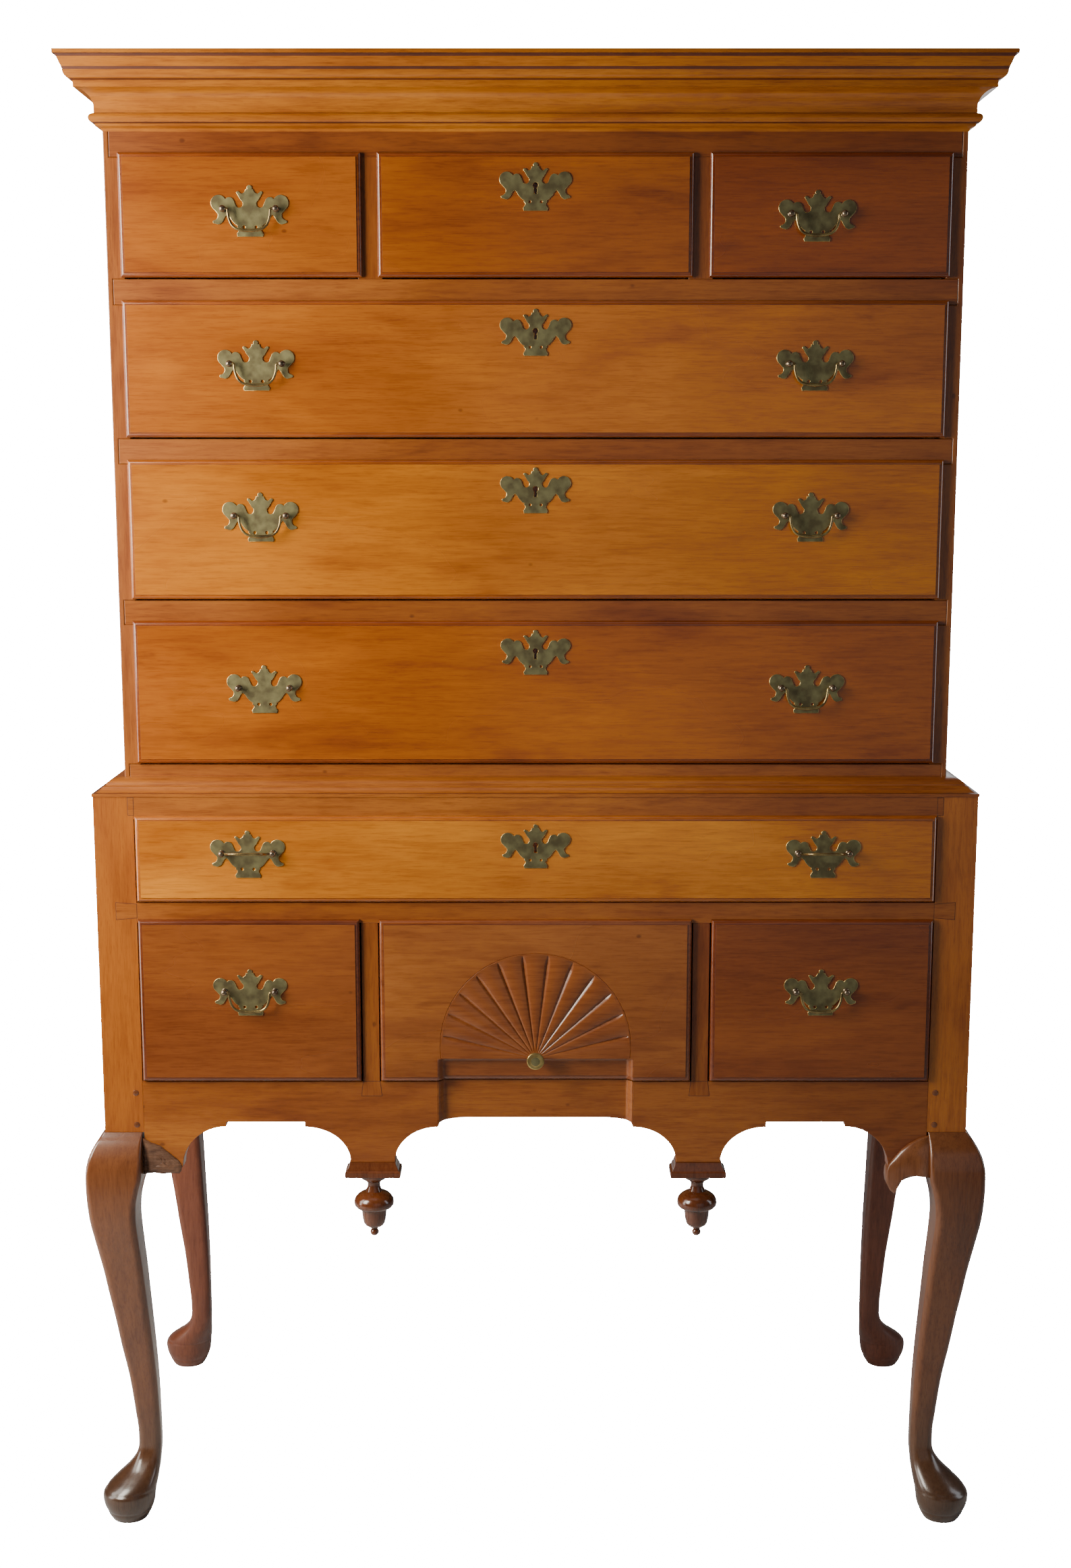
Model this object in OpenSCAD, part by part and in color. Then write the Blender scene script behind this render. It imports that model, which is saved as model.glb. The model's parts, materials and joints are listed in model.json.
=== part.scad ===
// Tall chest of drawers in two cases: an upper case of six drawers stands on a
// lower case of four drawers with a shaped skirt and four cabriole legs.
// Front faces -Y, left is -X, the floor is z = 0.

/* [Lower case] */
// Width across the front posts
lower_w = 990; // [960:5:1020]
// Depth from the front posts to the back posts
lower_d = 460; // [440:5:500]
// Height of the posts' top above the floor
lower_top = 870; // [860:1:880]
// Side of the square post at the head of each leg
post = 45; // [42:0.5:48]
// Height where the post ends and the knee begins
knee_top = 480; // [478:1:482]
// Top edge of the skirt, on which the lowest drawers ride
skirt_top = 540.5; // [538:0.5:542]
// Thickness of the skirt, rails and dividers, front to back
rail_d = 22; // [20:1:24]
// Thickness of the lower side boards
lower_side_t = 18; // [16:1:20]
// Centre of the two dividers and of the two pendants, from the middle
divider_x = 187.5; // [184:0.5:190]

/* [Upper case] */
// Width of the upper case
upper_w = 928.5; // [900:0.5:935]
// Setback of the upper case behind the lower case's front
setback = 30.7; // [28:0.1:34]
// Height of the whole chest
total_h = 1663.5; // [1655:0.5:1670]
// Thickness of the upper side boards
upper_side_t = 20; // [18:0.5:22]
// Height of the base rail's upper edge
base_rail_top = 902.5; // [900:0.5:905]
// Centre of the two dividers in the top row
top_divider_x = 179; // [176:0.5:182]

/* [Drawer fronts] */
// Height of the three fronts in the top row
top_h = 130; // [126:0.5:132]
// Height of the upper long drawer's front
upper_long_h = 146; // [143:0.5:148]
// Height of the middle long drawer's front
middle_long_h = 152.5; // [150:0.5:154]
// Height of the lower long drawer's front
lower_long_h = 160; // [157:0.5:162]
// Height of the lower case's long drawer front
base_long_h = 98; // [95:0.5:99]
// Height of the three lowest fronts
base_row_h = 188.5; // [186:0.5:189]
// How far a front stands proud of its case
proud = 7; // [6:0.5:8]
// How far a front's lip covers the wood around its opening
lip_over = 4.5; // [3:0.5:5]
// Gap under each front
reveal = 1.5; // [1:0.25:2]
// Visible height of the upper rails
upper_rail_show = 22.5; // [21:0.5:24]
// Visible height of the rail above the three lowest drawers
lower_rail_show = 19; // [18:0.5:20]

/* [Drawer boxes] */
// Thickness of the drawer sides and backs
box_t = 10; // [8:1:12]
// Thickness of the drawer bottoms
bottom_t = 8; // [6:1:9]
// Depth of a front behind the case's face
front_in = 15; // [14:1:17]
// Depth behind the case's face of the thicker, carved front
fan_front_in = 25; // [22:1:27]

/* [Brass] */
// Distance between the two posts of a pull
bore = 57; // [57:0.5:58]
// Radius of a bail's rod
rod_r = 1.4; // [1.2:0.1:1.6]
// Radius of a bail's end pins
pin_r = 1.1; // [1:0.05:1.2]
// Clearance around a pin in its post
pin_gap = 0.05; // [0.02:0.01:0.1]
// Radius of a post's ball
ball_r = 3.6; // [3.4:0.1:3.8]
// Distance from a plate's face to the ball's centre
post_out = 7.3; // [7:0.1:8]
// Thickness of the cast plates
plate_t = 1.2; // [1:0.1:1.5]
// Lift of the two bails that stay raised, in degrees from hanging
raised_lift = 100; // [90:1:105]

/* [Hidden] */
$fn = 48;
upper_h_board = 16;
upper_side_x = upper_w / 2 - upper_side_t;
rail_housing_x = 458;
back_t = 12;
runner_w = 22;
runner_h = 18;
top_divider_t = 26;
divider_t = 19;
lip_gap = 0.4;
// Hairline left open in a butted or mitred joint, so that each board stays its own solid
joint_gap = 0.2;
box_clear = 0.6;
tail_len = 12;
middle_x = 112;
cut_back = 8;
fan_z = 569.5;
pendant_y = rail_d / 2;
knee_out = 21.5;
knob_shank_r = 4;
bail_drop = 22.8;

// The box of the chest runs from the raised bails to the back legs' knees.
pull_y = plate_t + post_out;
front_most = proud + pull_y + bail_drop * sin(raised_lift) + rod_r;
back_most = lower_d + knee_out;
middle_y = (back_most - front_most) / 2;

upper_y = setback;
base_row_z = skirt_top + reveal;
base_long_z = base_row_z + base_row_h + lower_rail_show + reveal;
lower_long_z = base_rail_top + reveal;
middle_long_z = lower_long_z + lower_long_h + upper_rail_show + reveal;
upper_long_z = middle_long_z + middle_long_h + upper_rail_show + reveal;
top_z = upper_long_z + upper_long_h + upper_rail_show + reveal;

// Each rail is [underside, upper edge].
upper_rails = [
    [lower_top, base_rail_top],
    [lower_long_z + lower_long_h - lip_over, middle_long_z - reveal],
    [middle_long_z + middle_long_h - lip_over, upper_long_z - reveal],
    [upper_long_z + upper_long_h - lip_over, top_z - reveal]
];
frieze_z = top_z + top_h - lip_over;
side_top = total_h - upper_h_board;
lower_mid_rail = [base_row_z + base_row_h - lip_over, base_long_z - reveal];
lower_top_rail = [base_long_z + base_long_h - lip_over, lower_top];

// Half widths of the fronts, and how far a box side lies inside a front's edge
upper_front_x = upper_side_x + lip_over;
lower_front_x = lower_w / 2 - post - reveal;
upper_inset = lip_over + reveal;
lower_inset = 0.5;
top_gap = top_divider_t / 2 - lip_over;
base_gap = divider_t / 2 + reveal;

// name, left edge, right edge, lower edge, height, case's face, inset of the box,
// depth in the case, pulls' centres [x ...], pulls' height, keyhole's height (0: none)
drawers = [
    ["top_left", -upper_front_x, -top_divider_x - top_gap, top_z, top_h,
        upper_y, upper_inset, front_in, [-307], 1505, 0],
    ["top_centre", -top_divider_x + top_gap, top_divider_x - top_gap, top_z, top_h,
        upper_y, upper_inset, front_in, [], 0, 1530],
    ["top_right", top_divider_x + top_gap, upper_front_x, top_z, top_h,
        upper_y, upper_inset, front_in, [303], 1500, 0],
    ["upper_long", -upper_front_x, upper_front_x, upper_long_z, upper_long_h,
        upper_y, upper_inset, front_in, [-304, 304], 1343, 1378],
    ["middle_long", -upper_front_x, upper_front_x, middle_long_z, middle_long_h,
        upper_y, upper_inset, front_in, [-303, 303], 1180, 1209],
    ["lower_long", -upper_front_x, upper_front_x, lower_long_z, lower_long_h,
        upper_y, upper_inset, front_in, [-303, 303], 990, 1031],
    ["base_long", -lower_front_x, lower_front_x, base_long_z, base_long_h,
        0, lower_inset, front_in, [-322, 322], 808, 817],
    ["base_left", -lower_front_x, -divider_x - base_gap, base_row_z, base_row_h,
        0, lower_inset, front_in, [-323], 649, 0],
    ["base_fan", -divider_x + base_gap, divider_x - base_gap, base_row_z, base_row_h,
        0, lower_inset, fan_front_in, [], 0, 0],
    ["base_right", divider_x + base_gap, lower_front_x, base_row_z, base_row_h,
        0, lower_inset, front_in, [323], 649, 0]
];
function d_name(d) = d[0];
function d_x0(d) = d[1];
function d_x1(d) = d[2];
function d_z0(d) = d[3];
function d_z1(d) = d[3] + d[4];
function d_face(d) = d[5];
function d_inset(d) = d[6];
function d_in(d) = d[7];
function d_pulls(d) = d[8];
function d_pull_z(d) = d[9];
function d_key_z(d) = d[10];
function box_back(d) = lower_d - back_t - (d_face(d) == 0 ? 25 : 14);
function box_z0(d) = d_z0(d) - reveal + box_clear;
function box_z1(d) = d_z1(d) - lip_over - 6;
function raised(d) = d_name(d) == "base_long";

// Every bail as [node name, index of its drawer, index of its pull]; the lower
// long drawer has lost its left bail, and only its posts are left there.
bails = [
    for (i = [0 : len(drawers) - 1], p = [0 : 1])
        if (p < len(d_pulls(drawers[i])) && !(d_name(drawers[i]) == "lower_long" && p == 0))
            [str(d_name(drawers[i]), len(d_pulls(drawers[i])) == 1 ? "_bail" : ["_bail_left", "_bail_right"][p]),
                i, p]
];
CASE_NODES = [
    "upper_sides", "upper_boards", "upper_back", "upper_rails_and_dividers", "upper_runners",
    "cornice", "waist_moulding", "lower_sides", "lower_top", "lower_back",
    "lower_rails_and_dividers", "skirt", "lower_runners", "leg_front_left", "leg_front_right",
    "legs_rear", "knee_brackets", "pendants", "pegs"
];

MAPLE = "#c9803a";
FRONT = "#d08a3c";
LEG = "#8f5230";
PINE = "#caa472";
BRASS = "#8d8558";

// Points of an arc of an ellipse, from angle a0 to a1
function arc(cx, cy, rx, ry, a0, a1, n) =
    [for (i = [0 : n]) let (a = a0 + (a1 - a0) * i / n) [cx + rx * cos(a), cy + ry * sin(a)]];
function reversed(pts) = [for (i = [len(pts) - 1 : -1 : 0]) pts[i]];
function both_halves(pts) = concat(pts, [for (p = reversed(pts)) [-p[0], p[1]]]);

// Moves everything so that the middle of the chest's box is at x = y = 0
module placed() {
    translate([0, -middle_y, 0]) children();
}

// A board given by two opposite corners
module board(a, b) {
    translate(a) cube(b - a);
}

// A board and its mirror image on the other side of the chest
module pair(a, b) {
    board(a, b);
    mirror([1, 0, 0]) board(a, b);
}

// A flat outline in x and z, standing upright from y0 back to y1
module upright(pts, y0, y1) {
    translate([0, y1, 0]) rotate([90, 0, 0]) linear_extrude(y1 - y0) polygon(pts);
}

// ---- Upper case ----

module upper_sides() {
    color(MAPLE) placed() for (s = [0, 1]) mirror([s, 0, 0]) difference() {
        board([upper_side_x, upper_y, lower_top], [upper_w / 2, lower_d, side_top]);
        for (r = upper_rails)
            board([upper_side_x - 1, upper_y - 1, r[0]], [rail_housing_x, upper_y + rail_d, r[1]]);
        board([upper_side_x - 1, upper_y - 1, frieze_z], [rail_housing_x, upper_y + rail_d, total_h]);
    }
}

module upper_boards() {
    color(PINE) placed() {
        board([-upper_w / 2, upper_y, side_top], [upper_w / 2, lower_d, total_h]);
        board([-upper_side_x, upper_y + rail_d, lower_top],
            [upper_side_x, lower_d - back_t, lower_top + upper_h_board]);
    }
}

module upper_back() {
    boards = 4;
    h = (side_top - lower_top) / boards;
    color(PINE) placed() for (i = [0 : boards - 1])
        board([-upper_side_x, lower_d - back_t, lower_top + i * h + 0.4],
            [upper_side_x, lower_d, lower_top + (i + 1) * h - 0.4]);
}

module upper_rails_and_dividers() {
    color(MAPLE) placed() {
        for (r = upper_rails)
            board([-rail_housing_x, upper_y, r[0]], [rail_housing_x, upper_y + rail_d, r[1]]);
        board([-rail_housing_x, upper_y, frieze_z], [rail_housing_x, upper_y + rail_d, side_top]);
        pair([top_divider_x - top_divider_t / 2, upper_y, upper_rails[3][1] + joint_gap],
            [top_divider_x + top_divider_t / 2, upper_y + rail_d, frieze_z - joint_gap]);
    }
}

module upper_runners() {
    color(PINE) placed() {
        for (r = upper_rails)
            pair([upper_side_x - runner_w, upper_y + rail_d, r[1] - runner_h + 2],
                [upper_side_x, lower_d - back_t, r[1]]);
        pair([top_divider_x - 33, upper_y + rail_d, upper_rails[3][1] - runner_h + 2],
            [top_divider_x + 33, lower_d - back_t, upper_rails[3][1]]);
    }
}

// ---- Mouldings ----

// A moulding carried round the front and both sides in three mitred lengths.
// The profile's points are [distance out from the case, height].
module mitred(profile, reach, w, y_front, y_back) {
    x = w / 2;
    plan_h = total_h + 1;
    intersection() {
        translate([-x - reach, 0, 0]) rotate([90, 0, 90]) linear_extrude(2 * (x + reach))
            polygon([for (p = profile) [y_front - p[0], p[1]]]);
        linear_extrude(plan_h)
            polygon([[-x, y_front], [-x - reach, y_front - reach], [x + reach, y_front - reach], [x, y_front]]);
    }
    for (s = [0, 1]) mirror([s, 0, 0]) intersection() {
        upright([for (p = profile) [x + p[0], p[1]]], y_front - reach, y_back);
        linear_extrude(plan_h)
            polygon([[x, y_front + joint_gap], [x + reach, y_front - reach + joint_gap],
                [x + reach, y_back], [x, y_back]]);
    }
}

// Fillet, small cyma, fillet, large cove, half-round bead and a small cove below
module cornice() {
    reach = 42;
    z = total_h;
    profile = concat(
        [[0, z], [reach, z], [reach, z - 4.5], [39.5, z - 4.5], [35.8, z - 13.5], [33.4, z - 19.5]],
        arc(27.5, z - 19.5, 5.9, 8, 0, -90, 6),
        [[24.5, z - 29], [24.5, z - 35.7]],
        arc(24.5, z - 53.2, 17.5, 17.5, 90, 180, 10),
        [[7, z - 59.5]],
        arc(7.2, z - 64.8, 5.2, 5.2, 75, -75, 10),
        [[6.3, z - 70], [6.3, z - 72.5], [1.2, z - 74.5], [0, z - 77.5]]
    );
    color(MAPLE) placed() mitred(profile, reach, upper_w, upper_y, lower_d);
}

// Fillet, cove and quarter-round, fixed to the lower case around the upper one
module waist_moulding() {
    reach = setback + 1;
    z = lower_top;
    profile = concat(
        [[0, z], [reach, z], [reach, z + 3.5]],
        arc(reach, z + 16, 12.5, 12.5, 270, 209, 6),
        arc(0, z + 11, 18, 8, 0, 90, 8)
    );
    color(MAPLE) placed() mitred(profile, reach, upper_w, upper_y, lower_d);
}

// ---- Lower case ----

// The side boards' lower edge drops in a quarter ellipse to a lobe at each leg.
module lower_sides() {
    flat_z = 492;
    lobe = [50.5, 48.5];
    lobe_z = 438;
    near = post + 88.5;
    far = lower_d - near;
    edge = concat(
        [[post, lower_top], [post, lobe_z]], arc(near, lobe_z, lobe[0], lobe[1], 180, 90, 8),
        [[near, flat_z], [far, flat_z]], arc(far, lobe_z, lobe[0], lobe[1], 90, 0, 8),
        [[lower_d - post, lobe_z], [lower_d - post, lower_top]]
    );
    color(MAPLE) placed() for (s = [0, 1]) mirror([s, 0, 0])
        translate([lower_w / 2 - lower_side_t, 0, 0]) rotate([90, 0, 90])
            linear_extrude(lower_side_t) polygon(edge);
}

module lower_top() {
    color(PINE) placed()
        board([-lower_w / 2 + lower_side_t, post, lower_top - 18],
            [lower_w / 2 - lower_side_t, lower_d - post, lower_top]);
}

module lower_back() {
    x = lower_w / 2 - post;
    color(PINE) placed() board([-x, lower_d - 16, knee_top], [x, lower_d - 4, lower_top]);
}

module lower_rails_and_dividers() {
    x = lower_w / 2 - post;
    color(MAPLE) placed() {
        for (r = [lower_mid_rail, lower_top_rail]) board([-x, 0, r[0]], [x, rail_d, r[1]]);
        pair([divider_x - divider_t / 2, 0, skirt_top + joint_gap],
            [divider_x + divider_t / 2, rail_d, lower_mid_rail[0] - joint_gap]);
    }
}

// The cut-back middle of the skirt and of the fan drawer's front, in the face at y
module middle_cut(y, z0, z1) {
    cove_w = 12;
    x = middle_x - cove_w;
    translate([0, 0, z0]) linear_extrude(z1 - z0)
        polygon(concat([[middle_x, y - 1]], arc(x, y, cove_w, cut_back, 0, 90, 5),
            arc(-x, y, cove_w, cut_back, 90, 180, 5), [[-middle_x, y - 1]]));
}

// Skirt with a raised flat on each side, a drop for each pendant, and a middle
// stretch that is cut back
module skirt() {
    neck = 25.5;
    half = concat(
        [[0, 495], [84, 495], [110, 491], [middle_x, 486]],
        arc(middle_x, 444, divider_x - neck - middle_x, 42, 90, 0, 8),
        arc(265, 444, 265 - divider_x - neck, 42, 180, 90, 8),
        [[265, 492], [355, 492]],
        arc(355.5, 438, 51, 48.5, 90, 0, 8),
        [[lower_w / 2 - post, 430], [lower_w / 2 - post, skirt_top]]
    );
    color(MAPLE) placed() difference() {
        upright(both_halves(half), 0, rail_d);
        middle_cut(0, 480, skirt_top + 1);
    }
}

module lower_runners() {
    x = lower_w / 2 - lower_side_t;
    back = lower_d - 16;
    color(PINE) placed() {
        for (z = [skirt_top, lower_mid_rail[1]])
            pair([x - 50, post, z - runner_h + 2], [x, lower_d - post, z]);
        pair([divider_x - 30, rail_d, skirt_top - runner_h + 2], [divider_x + 30, back, skirt_top]);
    }
}

// ---- Legs: post and cabriole leg in one piece of wood ----

// Each section is [height, outer face, inner face, corner radius]; the faces are
// measured from the post's outer corner, positive inwards, the same in x and y.
leg_sections = [
    [lower_top, 0, post, 0.6], [knee_top, 0, post, 0.6], [knee_top - 1, -1, post - 2, 1],
    [471, -8.5, 43, 3], [460, -15, 43, 4], [444, -20, 43, 5], [428, -21.3, 42.5, 6],
    [415, -knee_out, 36, 7], [381, -19.5, 34, 8], [348, -14, 35.5, 8], [315, -8, 38, 8],
    [282, -3, 40, 8], [257, 1, 41.5, 8], [215, 7, 44, 8], [173, 13.5, 46, 8],
    [130, 18, 47, 8], [96, 20.5, 47.5, 9], [78, 18.5, 47, 10], [62, 9, 46, 15],
    [50, -4, 45, 22], [40, -14, 43.5, 28], [31, -20, 42, 31], [24, -19.5, 41.5, 30.5],
    [14, -17, 39, 28], [5, -13, 35, 24], [0, -10, 32, 21]
];

// One section as a square with rounded corners, in inward coordinates
function leg_ring(s, per = 5) =
    let (c = (s[1] + s[2]) / 2, h = (s[2] - s[1]) / 2, r = min(s[3], h - 0.01))
    [for (q = [0 : 3], k = [0 : per - 1])
        let (a = 90 * q + 90 * k / (per - 1), sx = q == 0 || q == 3 ? 1 : -1, sy = q < 2 ? 1 : -1)
        [c + sx * (h - r) + r * cos(a), c + sy * (h - r) + r * sin(a), s[0]]];

module leg_body() {
    n = 20;
    rings = len(leg_sections);
    points = [for (s = leg_sections, p = leg_ring(s)) p];
    faces = concat(
        [[for (k = [0 : n - 1]) n - 1 - k]],
        [for (i = [0 : rings - 2], k = [0 : n - 1]) let (a = i * n + k, b = i * n + (k + 1) % n) [a, b, b + n]],
        [for (i = [0 : rings - 2], k = [0 : n - 1]) let (a = i * n + k, b = i * n + (k + 1) % n) [a, b + n, a + n]],
        [[for (k = [0 : n - 1]) (rings - 1) * n + k]]
    );
    polyhedron(points, [for (f = faces) [for (i = [len(f) - 1 : -1 : 0]) f[i]]]);
}

// Turns inward coordinates at a corner into the chest's own
module at_corner(right, back) {
    translate([right ? lower_w / 2 : -lower_w / 2, back ? lower_d : 0, 0])
        mirror([right ? 1 : 0, 0, 0]) mirror([0, back ? 1 : 0, 0]) children();
}

module leg_front_left() {
    color(LEG) placed() at_corner(false, false) leg_body();
}

module leg_front_right() {
    color(LEG) placed() at_corner(true, false) leg_body();
}

module legs_rear() {
    color(LEG) placed() {
        at_corner(false, true) leg_body();
        at_corner(true, true) leg_body();
    }
}

// Bracket glued against the knee and over the skirt's or side's lower corner
module bracket(whole) {
    leg_face = 43.2;
    y_front = -14;
    wood_z = 430;
    outline = whole
        ? [[0, 478], [23, 466], [39, 449], [47, 436], [46.5, 418.5], [38, 407], [33.5, 418.5],
            [25.5, 425.5], [12.5, 429.5], [0, 429.5]]
        : [[0, 474], [20, 464], [34, 452], [44, 440], [41, 431], [22, 430.5], [0, 431]];
    difference() {
        translate([leg_face, 0, 0]) upright(outline, whole ? y_front : -9, whole ? 16 : 0);
        board([0, 0, wood_z], [120, 30, 500]);
    }
}

module knee_brackets() {
    color(LEG) placed() {
        at_corner(true, false) bracket(true);
        at_corner(false, false) bracket(false);
        for (right = [false, true], back = [false, true])
            at_corner(right, back) mirror([1, -1, 0]) bracket(true);
    }
}

// Square plinth block and turned drop under each low point of the skirt
module pendants() {
    block = 64;
    block_z = [426, 444];
    turned = concat(
        [[0, block_z[0]], [16, block_z[0]], [15.5, 422], [9, 419], [6.5, 414], [7, 408]],
        arc(0, 393, 22, 12.5, 72, -10, 8),
        [[14, 383], [13.5, 380]],
        arc(0, 380, 13.5, 22, 0, -68, 8),
        arc(0, 355, 4.5, 4, 40, -90, 6)
    );
    color(MAPLE) placed() for (s = [-1, 1]) translate([s * divider_x, pendant_y, 0]) {
        translate([-block / 2, -pendant_y - 6, block_z[0]]) cube([block, rail_d + 12, block_z[1] - block_z[0]]);
        rotate_extrude() polygon(turned);
    }
}

// Ends of the pegs that pin the skirt's tenons in the front posts
module pegs() {
    color(LEG) placed() for (s = [-1, 1], z = [489, 527])
        translate([s * 458, 0, z]) rotate([90, 0, 0]) cylinder(r = 3.5, h = 0.8);
}

// ---- Drawers ----

// Tails on the front end of a drawer side, as [y, z] outlines
function tails(d, count) =
    let (y = d_face(d) + d_in(d), z0 = box_z0(d), pitch = (box_z1(d) - z0) / count)
    [for (k = [0 : count - 1]) let (z = z0 + (k + 0.5) * pitch)
        [[y + 0.01, z - 0.27 * pitch], [y - tail_len, z - 0.36 * pitch],
            [y - tail_len, z + 0.36 * pitch], [y + 0.01, z + 0.27 * pitch]]];
function tail_count(d) = d[4] > 110 ? 4 : 2;

module tail_blocks(d, x, t) {
    translate([x, 0, 0]) rotate([90, 0, 90]) linear_extrude(t)
        for (outline = tails(d, tail_count(d))) polygon(outline);
}

// Round head and tapering slot of a keyhole, cut from front to back
module keyhole(z, y0, y1) {
    upright(concat([[-1.6, z - 9], [1.6, z - 9]], arc(0, z, 2.9, 2.9, -70, 250, 12)), y0, y1);
}

module drawer_front(d) {
    x0 = d_x0(d);
    x1 = d_x1(d);
    face = d_face(d);
    back = face + d_in(d);
    color(FRONT) placed() difference() {
        union() {
            board([x0, face - proud, d_z0(d)], [x1, face - lip_gap, d_z1(d)]);
            board([x0 + d_inset(d), face - lip_gap - 0.1, d_z0(d)],
                [x1 - d_inset(d), back, d_z1(d) - lip_over - reveal]);
        }
        tail_blocks(d, x0 + d_inset(d) - 1, box_t + 1);
        tail_blocks(d, x1 - d_inset(d) - box_t, box_t + 1);
        if (d_key_z(d) > 0)
            keyhole(d_key_z(d), face - proud - 1, back + 1);
        if (d_name(d) == "base_fan") {
            middle_cut(face - proud, d_z0(d) - 1, fan_z);
            translate([0, face - proud + cut_back + 0.2, fan_z]) rotate([90, 0, 0])
                cylinder(r = knob_shank_r + pin_gap, h = cut_back + 2);
        }
    }
}

module drawer_box(d) {
    y0 = d_face(d) + d_in(d);
    y1 = box_back(d);
    z0 = box_z0(d);
    z1 = box_z1(d);
    left = d_x0(d) + d_inset(d);
    right = d_x1(d) - d_inset(d);
    bottom_z = z0 + 5;
    color(PINE) placed() {
        for (x = [left, right - box_t]) {
            board([x, y0, z0], [x + box_t, y1, z1]);
            tail_blocks(d, x, box_t);
        }
        inner = [left + box_t + joint_gap, right - box_t - joint_gap];
        board([inner[0], y1 - box_t, bottom_z + bottom_t + joint_gap], [inner[1], y1, z1 - 4]);
        board([inner[0], y0, bottom_z], [inner[1], y1, bottom_z + bottom_t]);
    }
}

// Outline of a pull's plate about the middle of its two posts: finial, horns,
// round scoops, lobes behind the posts, small tails and a square foot
plate_outline = both_halves(concat(
    arc(0, 22.4, 2.8, 2.8, 90, -30, 5),
    arc(9.4, 21.2, 5.1, 5.1, 183, 262, 5),
    arc(12.6, 17.2, 1.6, 1.6, 120, -60, 5),
    arc(11.3, 5.6, 3.9, 3.9, 120, 320, 9),
    arc(21.8, 7.6, 5.2, 5.2, 160, 62, 5),
    arc(33.4, 6.6, 8.5, 8.5, 150, -50, 12),
    arc(39.5, -6.2, 5.2, 5.2, 160, 235, 4),
    arc(38.2, -13, 1.8, 1.8, 90, -90, 4),
    [[34.5, -15.9], [30, -14], [26.5, -8], [24.2, -5.8], [21.5, -8.5], [18, -13.5], [13.2, -17.2],
        [13.9, -18.3], [12, -20.4], [12, -21.8], [14.4, -25.4], [13.6, -28.6]]
));

module plate(x, z, y, size) {
    translate([x, 0, z])
        upright([for (p = plate_outline) [size * p[0], size * p[1]]], y - plate_t, y);
}

// Turned shank and ball of a post, bored across for the bail's pin
module pull_post(x, z, y) {
    shank_r = 2.3;
    translate([x, y, z]) difference() {
        rotate([90, 0, 0]) rotate_extrude()
            polygon(concat([[0, joint_gap], [shank_r, joint_gap]], arc(0, post_out, ball_r, ball_r, -50, 90, 10)));
        translate([-10, -post_out, 0]) rotate([0, 90, 0]) cylinder(r = pin_r + pin_gap, h = 20);
    }
}

module drawer_brass(d) {
    y = d_face(d) - proud;
    small = 0.93;
    color(BRASS) placed() {
        for (x = d_pulls(d)) {
            difference() {
                plate(x, d_pull_z(d), y, 1);
                for (s = [-1, 1]) translate([x + s * 6.6, y + 1, d_pull_z(d) - 18.6])
                    rotate([90, 0, 0]) cylinder(r = 1.6, h = plate_t + 2);
            }
            for (s = [-1, 1]) pull_post(x + s * bore / 2, d_pull_z(d), y - plate_t);
        }
        if (d_key_z(d) > 0) {
            difference() {
                plate(0, d_key_z(d), y, small);
                keyhole(d_key_z(d), y - 3, y + 1);
            }
            board([-32, d_face(d) + d_in(d), d_key_z(d) - 14], [32, d_face(d) + d_in(d) + 9, d_key_z(d) + 12]);
        }
        if (d_name(d) == "base_fan") translate([0, y + cut_back, fan_z]) rotate([90, 0, 0])
            rotate_extrude() polygon([[0, 0], [knob_shank_r, 0], [knob_shank_r, cut_back + 6],
                [10, cut_back + 7], [10, cut_back + 9], [0, cut_back + 11]]);
    }
}

// Middle line of half a bail that hangs down, as [x, z] from the end of its pin to the
// lowest point: the pin, an elbow, a long side, a corner and a wide foot that run into
// each other
side_x = 22.8;
elbow_r = 2;
side_r = 30;
corner_r = 12.5;
side_turn = 25;
foot_turn = 78;
foot_r = 54.2;
corner_x = side_x - side_r + (side_r - corner_r) * cos(side_turn);
corner_z = -elbow_r - (side_r - corner_r) * sin(side_turn);
pin_end_x = bore / 2 + 2;
pin_root_x = side_x + elbow_r + 0.3;
bail_line = concat(
    [[pin_end_x, 0], [pin_root_x, 0], [side_x + elbow_r, 0]],
    arc(side_x + elbow_r, -elbow_r, elbow_r, elbow_r, 112, 180, 3),
    arc(side_x - side_r, -elbow_r, side_r, side_r, -8, -side_turn, 2),
    arc(corner_x, corner_z, corner_r, corner_r, -38, -foot_turn, 3),
    arc(0, foot_r - bail_drop, foot_r, foot_r, -84, -90, 1)
);
bail_path = concat(bail_line, [for (i = [len(bail_line) - 2 : -1 : 0]) [-bail_line[i][0], bail_line[i][1]]]);

// The rod: a ring of points around each point of the path, thinner along the pins
module bail_rod() {
    n = 10;
    m = len(bail_path);
    points = [
        for (i = [0 : m - 1], k = [0 : n - 1])
            let (
                p = bail_path[i],
                along = i == 0 || i == m - 1 ? [-1, 0] : bail_path[i + 1] - bail_path[i - 1],
                across = [-along[1], along[0]] / norm(along),
                r = abs(p[0]) >= pin_root_x ? pin_r : rod_r,
                a = 360 * (k + 0.5) / n
            )
            [p[0] + across[0] * r * cos(a), r * sin(a), p[1] + across[1] * r * cos(a)]
    ];
    faces = concat(
        [[for (k = [0 : n - 1]) k]],
        [for (i = [0 : m - 2], k = [0 : n - 1]) let (j = (k + 1) % n) [i * n + j, i * n + k, i * n + n + k]],
        [for (i = [0 : m - 2], k = [0 : n - 1]) let (j = (k + 1) % n) [i * n + j, i * n + n + k, i * n + n + j]],
        [[for (k = [n - 1 : -1 : 0]) (m - 1) * n + k]]
    );
    polyhedron(points, faces);
}

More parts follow.
